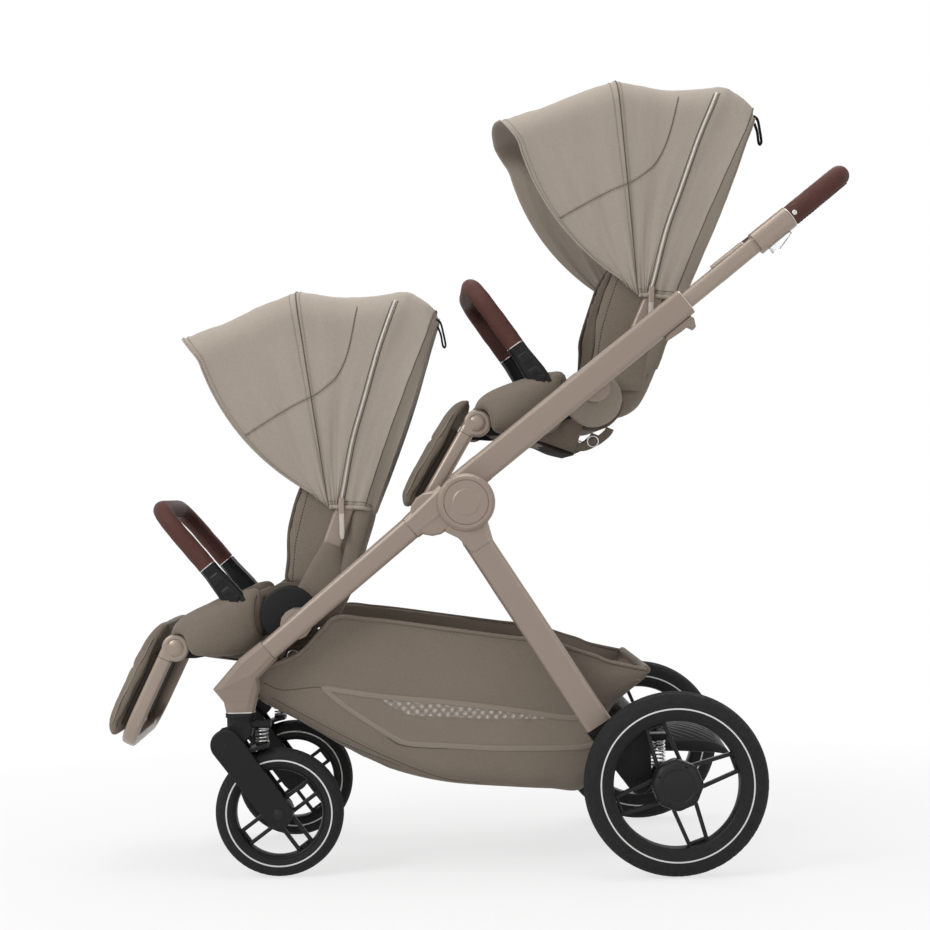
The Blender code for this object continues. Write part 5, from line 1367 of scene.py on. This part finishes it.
def build_bumper_clip(name, side):
    """Clip, ribs and button plate on the face of a bumper socket."""
    across = Vector((SOCKET_WAY.z, 0, -SOCKET_WAY.x))
    pieces = []
    for place, length, width, rise, look, corner in SOCKET_PLATES:
        rings = []
        for lift, grow in ((-0.0022, 0.0), (rise - 0.0006, 0.0), (rise, -0.0009)):
            face = Vector((0, side * (BUMPER_Y + SOCKET_FACE + lift), 0))
            rings.append([SOCKET_LOW + across * a + SOCKET_WAY * (place + b) + face
                          for a, b in rounded(width + 2 * grow, length + 2 * grow, corner, 4)])
        pieces.append(ringed("plate", rings, look))
    return merged(name, *pieces)


bumper = build_bumper()
for prefix, (hub, tilt, back_tilt, body) in SEATS.items():
    placed(copied(bumper, prefix + "bumper_leather"), seat_matrix(prefix), prefix + "bumper",
           prefix + "bumper_bar")
    for tag, side in SIDES:
        placed(build_bumper_clip(prefix + "bumper_clip_" + tag, side), seat_matrix(prefix), body)
bpy.data.objects.remove(bumper)


# Basket

# Stations from front to rear: x, height of the floor and of the rim
BASKET = [
    (-0.3415, 0.276, 0.306), (-0.330, 0.262, 0.318), (-0.276, 0.232, 0.340), (-0.240, 0.210, 0.374),
    (-0.214, 0.194, 0.396), (-0.168, 0.170, 0.392), (-0.122, 0.150, 0.386), (-0.046, 0.132, 0.374),
    (0.050, 0.123, 0.359), (0.110, 0.119, 0.351), (0.161, 0.118, 0.334), (0.185, 0.168, 0.326),
    (0.206, 0.238, 0.317), (0.262, 0.292, 0.3035),
]
BASKET_HALVES = (0.176, 0.188)
BASKET_CORNER = 0.034
BASKET_COLUMNS = 74
BASKET_WALL = 0.0016
WINDOW = [(-238, 287), (-150, 272), (-43, 260), (60, 245), (131, 233), (165, 229), (178, 208), (168, 188),
          (50, 187), (-44, 193), (-107, 198), (-132, 209), (-160, 227), (-182, 242), (-212, 264)]
WINDOW_BASE = 187
BASKET_SEAMS = (
    [(-330, 300), (-300, 288), (-238, 291), (-150, 276), (-43, 264), (60, 249), (140, 235)],
    [(-325, 268), (-250, 222), (-182, 190), (-122, 166)],
    [(-318, 276), (-240, 232), (-150, 184), (-60, 146), (0, 136)],
)


def basket_half(x):
    """Half the basket's width at its rim."""
    first, last = BASKET[0][0], BASKET[-1][0]
    return BASKET_HALVES[0] + (BASKET_HALVES[1] - BASKET_HALVES[0]) * (x - first) / (last - first)


def basket_row(x, low, high):
    """Left half of a basket section, from its rim down to the middle of the floor."""
    half = basket_half(x)
    corner = min(BASKET_CORNER, (high - low) * 0.45)
    wall = high - low - corner
    turn = corner * math.pi / 2
    row = []
    for k in range(BASKET_COLUMNS + 1):
        run = (wall + turn + half - corner) * k / BASKET_COLUMNS
        if run < wall:
            row.append(Vector((x, -half - 0.002 * math.sin(math.pi * run / wall), high - run)))
        elif run < wall + turn:
            angle = (run - wall) / corner
            row.append(Vector((x, -half + corner * (1 - math.cos(angle)), low + corner * (1 - math.sin(angle)))))
        else:
            across = run - wall - turn
            row.append(Vector((x, -half + corner + across, low - 0.002 * math.sin(math.pi * across / half))))
    return row


def build_basket_shell(rim):
    """Sewn basket with its mesh windows marked, slack between its seams."""
    border = side_curve([(x / 1000, z / 1000) for x, z in WINDOW], 0.004, closed=True)

    def inside(x, z):
        hit = False
        for a, b in zip(border, border[1:] + border[:1]):
            if (a.z > z) != (b.z > z) and x < (b.x - a.x) * (z - a.z) / (b.z - a.z) + a.x:
                hit = not hit
        return hit

    builder = bmesh.new()
    verts = []
    for floor in side_curve([(x, low) for x, low, high in BASKET], 0.0055):
        high = min(rim, key=lambda p: abs(p.x - floor.x)).z
        line = []
        for point in mirrored_row(basket_row(floor.x, floor.z, high)):
            fold = noise.noise(Vector((point.x * 7, point.y * 5, point.z * 9)))
            fine = noise.noise(Vector((point.x * 22, point.y * 14, point.z * 26)))
            push = 0.0030 * fold + 0.0009 * fine * max(0.0, min(1.0, (0.30 - point.z) / 0.12))
            slack = (0, math.copysign(push, point.y * push), 0) if abs(point.y) > 0.14 else (0, 0, -abs(push))
            line.append(builder.verts.new(point + Vector(slack)))
        verts.append(line)
    width = len(verts[0])
    for a, b in zip(verts, verts[1:]):
        for j in range(width - 1):
            corners = [a[j], a[j + 1], b[j + 1], b[j]]
            face = builder.faces.new(corners)
            middle = sum((v.co for v in corners), Vector()) / 4
            if abs(middle.y) > 0.165 and inside(middle.x, middle.z):
                face.material_index = 2
    for row in (verts[0], verts[-1]):
        for j in range((width - 1) // 2):
            corners = list(dict.fromkeys([row[j], row[j + 1], row[width - 2 - j], row[width - 1 - j]]))
            if len(corners) > 2:
                builder.faces.new(corners)
    # The second look, the inner face, is the lighter tone painted as light on the shaded inside
    shell = dressed("shell", builder, "basket", "inner", "mesh", "mesh")
    shell.data.transform(Matrix.Translation((shift, 0, 0)))
    return shell


def build_basket():
    """Basket shell with its piping, rim bindings, seams and rolled ends; the inner face of its wall and the strip
    inside its rim are painted lighter, as painted light.
    """
    rim = side_curve([(x, high) for x, low, high in BASKET], 0.003)
    shell = build_basket_shell(rim)
    tree = tree_of(shell)
    # The wall's inner faces take the next look, the lighter inside that is painted light
    pieces = [thickened(shell, BASKET_WALL, 1)]
    for side in (-1, 1):
        def wall_line(points, lift=0.0):
            return dropped(tree, [(x + shift, z) for x, z in side_line(points)], side, lift)

        path = wall_line(WINDOW + WINDOW[:1], 0.0004)[0]
        pieces.append(swept("window_binding", path[:-1], rounded(0.0085, 0.0014, 0.0006, 3), "light_binding",
                            up=(0, side, 0), closed=True))
        outer = [(x + math.copysign(4, x) * (abs(z - WINDOW_BASE) < 30),
                  z + (4.5 if z > 225 and x > -182 else -4.5)) for x, z in WINDOW[9:14]]
        pieces.append(swept("window_seam", wall_line(outer)[0], disc(0.0008, 6), "binding"))
        for seam in BASKET_SEAMS:
            pieces.append(stitch_rows(*wall_line(seam), "thread"))
            path = wall_line([(x, z - 3) for x, z in seam], -0.0002)[0]
            pieces.append(swept("seam", path, disc(0.0008, 6), "binding"))
        rim_line = [Vector((p.x + shift, side * (basket_half(p.x) + 0.0004), p.z)) for p in rim]
        pieces.append(swept("piping", rim_line, disc(0.0030, 10), "basket"))
        # Light strip on the inner face below the rim: painted light on the shaded inside of the wall
        path = snapped(tree, [p - Vector((0, 0, 0.0110)) for p in rim_line[3:-3]], 0.0)[0]
        pieces.append(swept("painted_light_rim_band", [p - Vector((0, side * 0.0027, 0)) for p in path],
                            rounded(0.0014, 0.0180, 0.0006, 3), "light_binding", up=(0, 0, 1)))
        path = snapped(tree, [p - Vector((0, 0, 0.0075)) for p in rim_line[4:-4]], 0.0)[0]
        pieces.append(stitch_rows(path, [Vector((0, side, 0))] * len(path), "thread"))
    for (x, low, high), radius in ((BASKET[0], 0.0035), (BASKET[-1], 0.0065)):
        line = curve_through([(x + shift, y * basket_half(x), high) for y in (-1, -0.5, 0, 0.5, 1)], 0.008)
        pieces.append(swept("end_roll", line, disc(radius, 12), "basket", up=(0, 0, 1)))
    basket = ridden(merged("basket_cloth", *pieces), "chassis", "basket")


build_basket()


# Handle, hubs and small trim

TUBE_LOW, TUBE_HIGH = (Vector((x, 0, z)) for x, z in UPPER_TUBE)
TUBE_WAY = (TUBE_HIGH - TUBE_LOW).normalized()
TUBE_UP = Vector((-TUBE_WAY.z, 0, TUBE_WAY.x))
GRIP_RADIUS = 0.0163
GRIP_LENGTH = 0.108
RIVET = [(0.0, 0.0006), (0.0011, 0.0006), (0.0016, 0.0011), (0.0034, 0.0009), (0.0042, -0.0004),
         (0.0042, -0.0022), (0.0, -0.0022)]
HUB_FACE = [
    (0.0, 0.2558), (0.0132, 0.2558), (0.0137, 0.2551), (0.0145, 0.2551), (0.0150, 0.2556), (0.0222, 0.2556),
    (0.0228, 0.2545), (0.0238, 0.2545), (0.0245, 0.2552), (0.0330, 0.2552), (0.0336, 0.2541), (0.0350, 0.2541),
    (0.0356, 0.2549), (0.0395, 0.2546), (0.0425, 0.2531), (0.0440, 0.2505), (0.0441, 0.2300), (0.0, 0.2300),
]
SEAT_DISC = [(0.0, 0.1662), (0.0400, 0.1658), (0.0428, 0.1650), (0.0441, 0.1630), (0.0441, 0.1360),
             (0.0, 0.1360)]


def build_grip():
    """Leather grip with its seam, stitches and rivets."""
    start = TUBE_HIGH + TUBE_WAY * GRIP_REACH
    end = start + TUBE_WAY * GRIP_LENGTH
    across = Vector((0, TUBE_Y, 0))
    line = bent([start - across, end - across, end + across, start + across], 0.045, 12, 0.005)
    grip = swept("grip", line, disc(GRIP_RADIUS, 36), "leather", up=TUBE_UP)
    creased(grip, 0.0006, 55.0, 7.0)
    tree = tree_of(grip)
    pieces = [grip]
    for offset in (-0.0028, 0.0028):
        seam = []
        for i, point in enumerate(line[1:-1]):
            tangent = (line[i + 2] - line[i]).normalized()
            seam.append(point - TUBE_UP * GRIP_RADIUS - tangent.cross(TUBE_UP) * offset)
        pieces.append(stitch_rows(*snapped(tree, seam, 0.0001), "dark_thread", 0.0036, 0.0018, 0.0006))
    for side in (-1, 1):
        spot = start + TUBE_WAY * 0.0075
        pieces.append(turned("rivet", RIVET, (spot.x, TUBE_Y + 0.0160, spot.z), "silver", steps=24, side=side))
        ring = [start + across * side + TUBE_WAY * (0.0002 + 0.0006 * k) for k in range(3)]
        pieces.append(swept("ring", ring, disc(0.0167, 32), "silver", up=TUBE_UP))
    grip = merged("handle_grip_leather", *pieces)
    grip.data.transform(Matrix.Translation((shift, 0, 0)))
    ridden(grip, "handle", "handle_grip")


build_grip()
for tag, side in SIDES:
    mouth = TUBE_HIGH + TUBE_WAY * 0.0009 + Vector((0, side * TUBE_Y, 0))
    across = TUBE_UP.cross(TUBE_WAY)
    path = [at(*(mouth + across * a + TUBE_UP * b)) for a, b in rounded(0.0244, 0.0414, 0.0080, 8)]
    ridden(swept("tube_ring_" + tag, path, disc(0.0009, 8), "silver", up=TUBE_WAY, closed=True), "upper_frame")
    path = [at(-0.3655, side * KNEE_Y, 0.2535 + 0.0009 * k) for k in range(3)]
    ridden(swept("knee_ring_" + tag, path, rounded(0.0370, 0.0440, 0.0122, 6), "silver", up=(1, 0, 0)), "chassis")
    ridden(turned("hub_face_" + tag, HUB_FACE, at(FOLD_HUB[0], 0, FOLD_HUB[1]), "tube", steps=120, side=side),
           "chassis")
    for prefix, (centre, tilt, back_tilt, body) in SEATS.items():
        look = "cover" if prefix == "upper_" else "black"
        ridden(turned(prefix + "seat_disc_" + tag, SEAT_DISC, at(centre[0], 0, centre[1]), look, side=side), body)


# Running gear

FORK_FACE = ((0.2135, 0.0), (0.2202, 0.0), (0.2216, 0.0006), (0.2225, 0.0019), (0.2228, 0.0042))
PEDAL_OUTLINE = [
    (0.288, 0.2030), (0.318, 0.2035), (0.353, 0.2020), (0.380, 0.1925), (0.396, 0.1745), (0.4036, 0.1575),
    (0.3990, 0.1552), (0.370, 0.1600), (0.330, 0.1660), (0.292, 0.1720),
]
PEDAL_HALF = 0.0752
PEDAL_HINGE = (0.270, 0, 0.197)
PEDAL_BARREL = [(0.0, 0.0460), (0.0072, 0.0460), (0.0080, 0.0452), (0.0080, -0.0452), (0.0072, -0.0460),
                (0.0, -0.0460)]
RIDGE_PITCH = 0.0085
WIRE_RADIUS = 0.0015


def belt_line(first, first_radius, last, last_radius, steps=28):
    """Outline of a belt round two circles in side view."""
    way = last - first
    turn = math.atan2(way.z, way.x)
    lean = math.acos((first_radius - last_radius) / way.length)
    made = []
    for centre, radius, start, sweep in ((first, first_radius, turn + lean, 2 * math.pi - 2 * lean),
                                         (last, last_radius, turn - lean, 2 * lean)):
        for k in range(steps + 1):
            angle = start + sweep * k / steps
            made.append(centre + radius * Vector((math.cos(angle), 0, math.sin(angle))))
    return made


def build_fork_face(tag, side):
    """Rounded face and screws on the outer plate of a front fork."""
    top = Vector((FORK_PIVOT[0], 0, FORK_PIVOT[1]))
    low = Vector((FRONT_AXLE[0], 0, FRONT_AXLE[2]))
    rings = [[at(p.x, side * y, p.z) for p in belt_line(top, 0.0237 - inset, low, 0.0217 - inset)]
             for y, inset in FORK_FACE]
    pieces = [ringed("face", rings, "black")]
    for spot, radius, rise in ((top, 0.0060, 0.2234), (low, 0.0086, 0.2246)):
        pieces.append(turned("screw", [
            (0.0, rise), (radius * 0.48, rise), (radius * 0.56, rise - 0.0008), (radius * 0.86, rise - 0.0005),
            (radius, rise - 0.0014), (radius, 0.2200), (0.0, 0.2200),
        ], at(spot.x, 0, spot.z), "black_metal", steps=48, side=side))
    ridden(merged("fork_face_" + tag, *pieces), "trailing_fork_" + tag)


def build_pedal():
    """Ribbed brake pedal with a crowned tread, on its hinge barrel."""
    outline = side_curve(PEDAL_OUTLINE, 0.0020, closed=True)
    middle = sum(outline, Vector()) / len(outline)
    rings = []
    for k in range(121):
        y = -PEDAL_HALF + 2 * PEDAL_HALF * k / 120
        edge = abs(y) / PEDAL_HALF
        shrink = 0.96 if k in (0, 120) else 1.0
        ring = []
        for p in outline:
            drop = 0.026 * edge ** 2.2 * max(0.0, min(1.0, (p.z - 0.158) / 0.045))
            ridge = 0.0
            if p.z > 0.186 and 0.298 < p.x < 0.384 and edge < 0.93:
                ridge = 0.0010 * max(0.0, math.sin(2 * math.pi * (p.x * 0.5 + y) / RIDGE_PITCH))
            spot = middle + (p - middle) * shrink
            ring.append(at(spot.x, y, spot.z - drop + ridge))
        rings.append(ring)
    barrel = turned("barrel", PEDAL_BARREL, at(*PEDAL_HINGE), "black", steps=40)
    neck = swept("neck", [at(0.270, 0, 0.1975), at(0.284, 0, 0.1980), at(0.300, 0, 0.1965)],
                 rounded(0.0880, 0.0090, 0.0030, 3), "black", up=(0, 0, 1))
    ridden(merged("pedal_tread", ringed("tread", rings, "black"), barrel, neck), "pedal", "brake_pedal")


def build_spring(node, turns):
    """Bright coil where a spring's solid stood; the solid is hidden."""
    low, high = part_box(node)
    centre = (low + high) / 2
    radius = (high.x - low.x) / 2 - WIRE_RADIUS
    count = turns * 20
    path = []
    for k in range(count + 1):
        angle = 2 * math.pi * k / 20
        ease = min(1.0, max(0.0, (k - 14) / (count - 28)))
        rise = low.z + 0.0017 + (high.z - low.z - 0.0034) * ease
        path.append(Vector((centre.x + radius * math.cos(angle), centre.y + radius * math.sin(angle), rise)))
    coil = swept(node + "_coil", path, disc(WIRE_RADIUS, 8), "steel", up=(0, 0, 1))
    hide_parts(node)
    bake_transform(coil)


build_pedal()
for tag, side in SIDES:
    build_spring("front_spring_" + tag, 5)
    build_spring("rear_spring_" + tag, 8)
    build_fork_face(tag, side)


# Tube skins

TUBE_SIZE = (0.026, 0.043)
HANDLE_SIZE = (0.018, 0.026)
# Each tube's ends with their thickness and height, its look and body, how far the skin lies outside the
# solid, and its corner with the steps round it
TUBES = {
    "front_leg_skin_": ((-0.096, LEG_Y, 0.532), (0.026, 0.035), (-0.318, 0.205, 0.350), (0.026, 0.032),
                        "tube", "chassis", 0.0007, 0.0085, 9),
    "rear_leg_skin_": ((0.0105, LEG_Y, 0.501), (0.026, 0.0405), (0.182, LEG_Y, 0.226), (0.026, 0.042),
                       "tube", "chassis", 0.0007, 0.0085, 9),
    "upper_socket_skin_": ((-0.0217, TUBE_Y, 0.5916), TUBE_SIZE, (0.0162, TUBE_Y, 0.6211), TUBE_SIZE,
                           "tube", "upper_frame", 0.0018, 0.0090, 9),
    "upper_tube_skin_": ((0.0162, TUBE_Y, 0.6211), TUBE_SIZE, (0.3333, TUBE_Y, 0.8675), TUBE_SIZE,
                         "tube", "upper_frame", 0.0007, 0.0085, 9),
    "handle_tube_skin_": ((0.3333, TUBE_Y, 0.8675), HANDLE_SIZE, (0.4443, TUBE_Y, 0.9537), HANDLE_SIZE,
                          "bright_tube", "handle", 0.0005, 0.0071, 2),
    "collar_skin_": ((0.4443, TUBE_Y, 0.9537), (0.030, 0.035), (0.4960, TUBE_Y, 0.9939), (0.030, 0.034),
                     "bright_tube", "handle", 0.0020, 0.0143, 9),
}


def tube_skin(name, side, start, first, end, last, look, body, grow, corner, steps):
    """Smooth hollow skin over a drawn frame tube."""
    start, end = (at(x, side * y, z) for x, y, z in (start, end))
    way = (end - start).normalized()
    up = Vector((-way.z, 0, way.x)).normalized()
    across = up.cross(way).normalized()
    rings = []
    for order, added in ((1, grow), (-1, -0.0006)):
        for k in range(13)[::order]:
            share = k / 12
            width, height = (a + (b - a) * share + added for a, b in zip(first, last))
            rings.append([start.lerp(end, share) + across * a + up * b
                          for a, b in rounded(width, height, corner, steps)])
    ridden(ringed(name, rings, look, closed=True, caps=False), body)


for tag, side in SIDES:
    for name, values in TUBES.items():
        tube_skin(name + tag, side, *values)
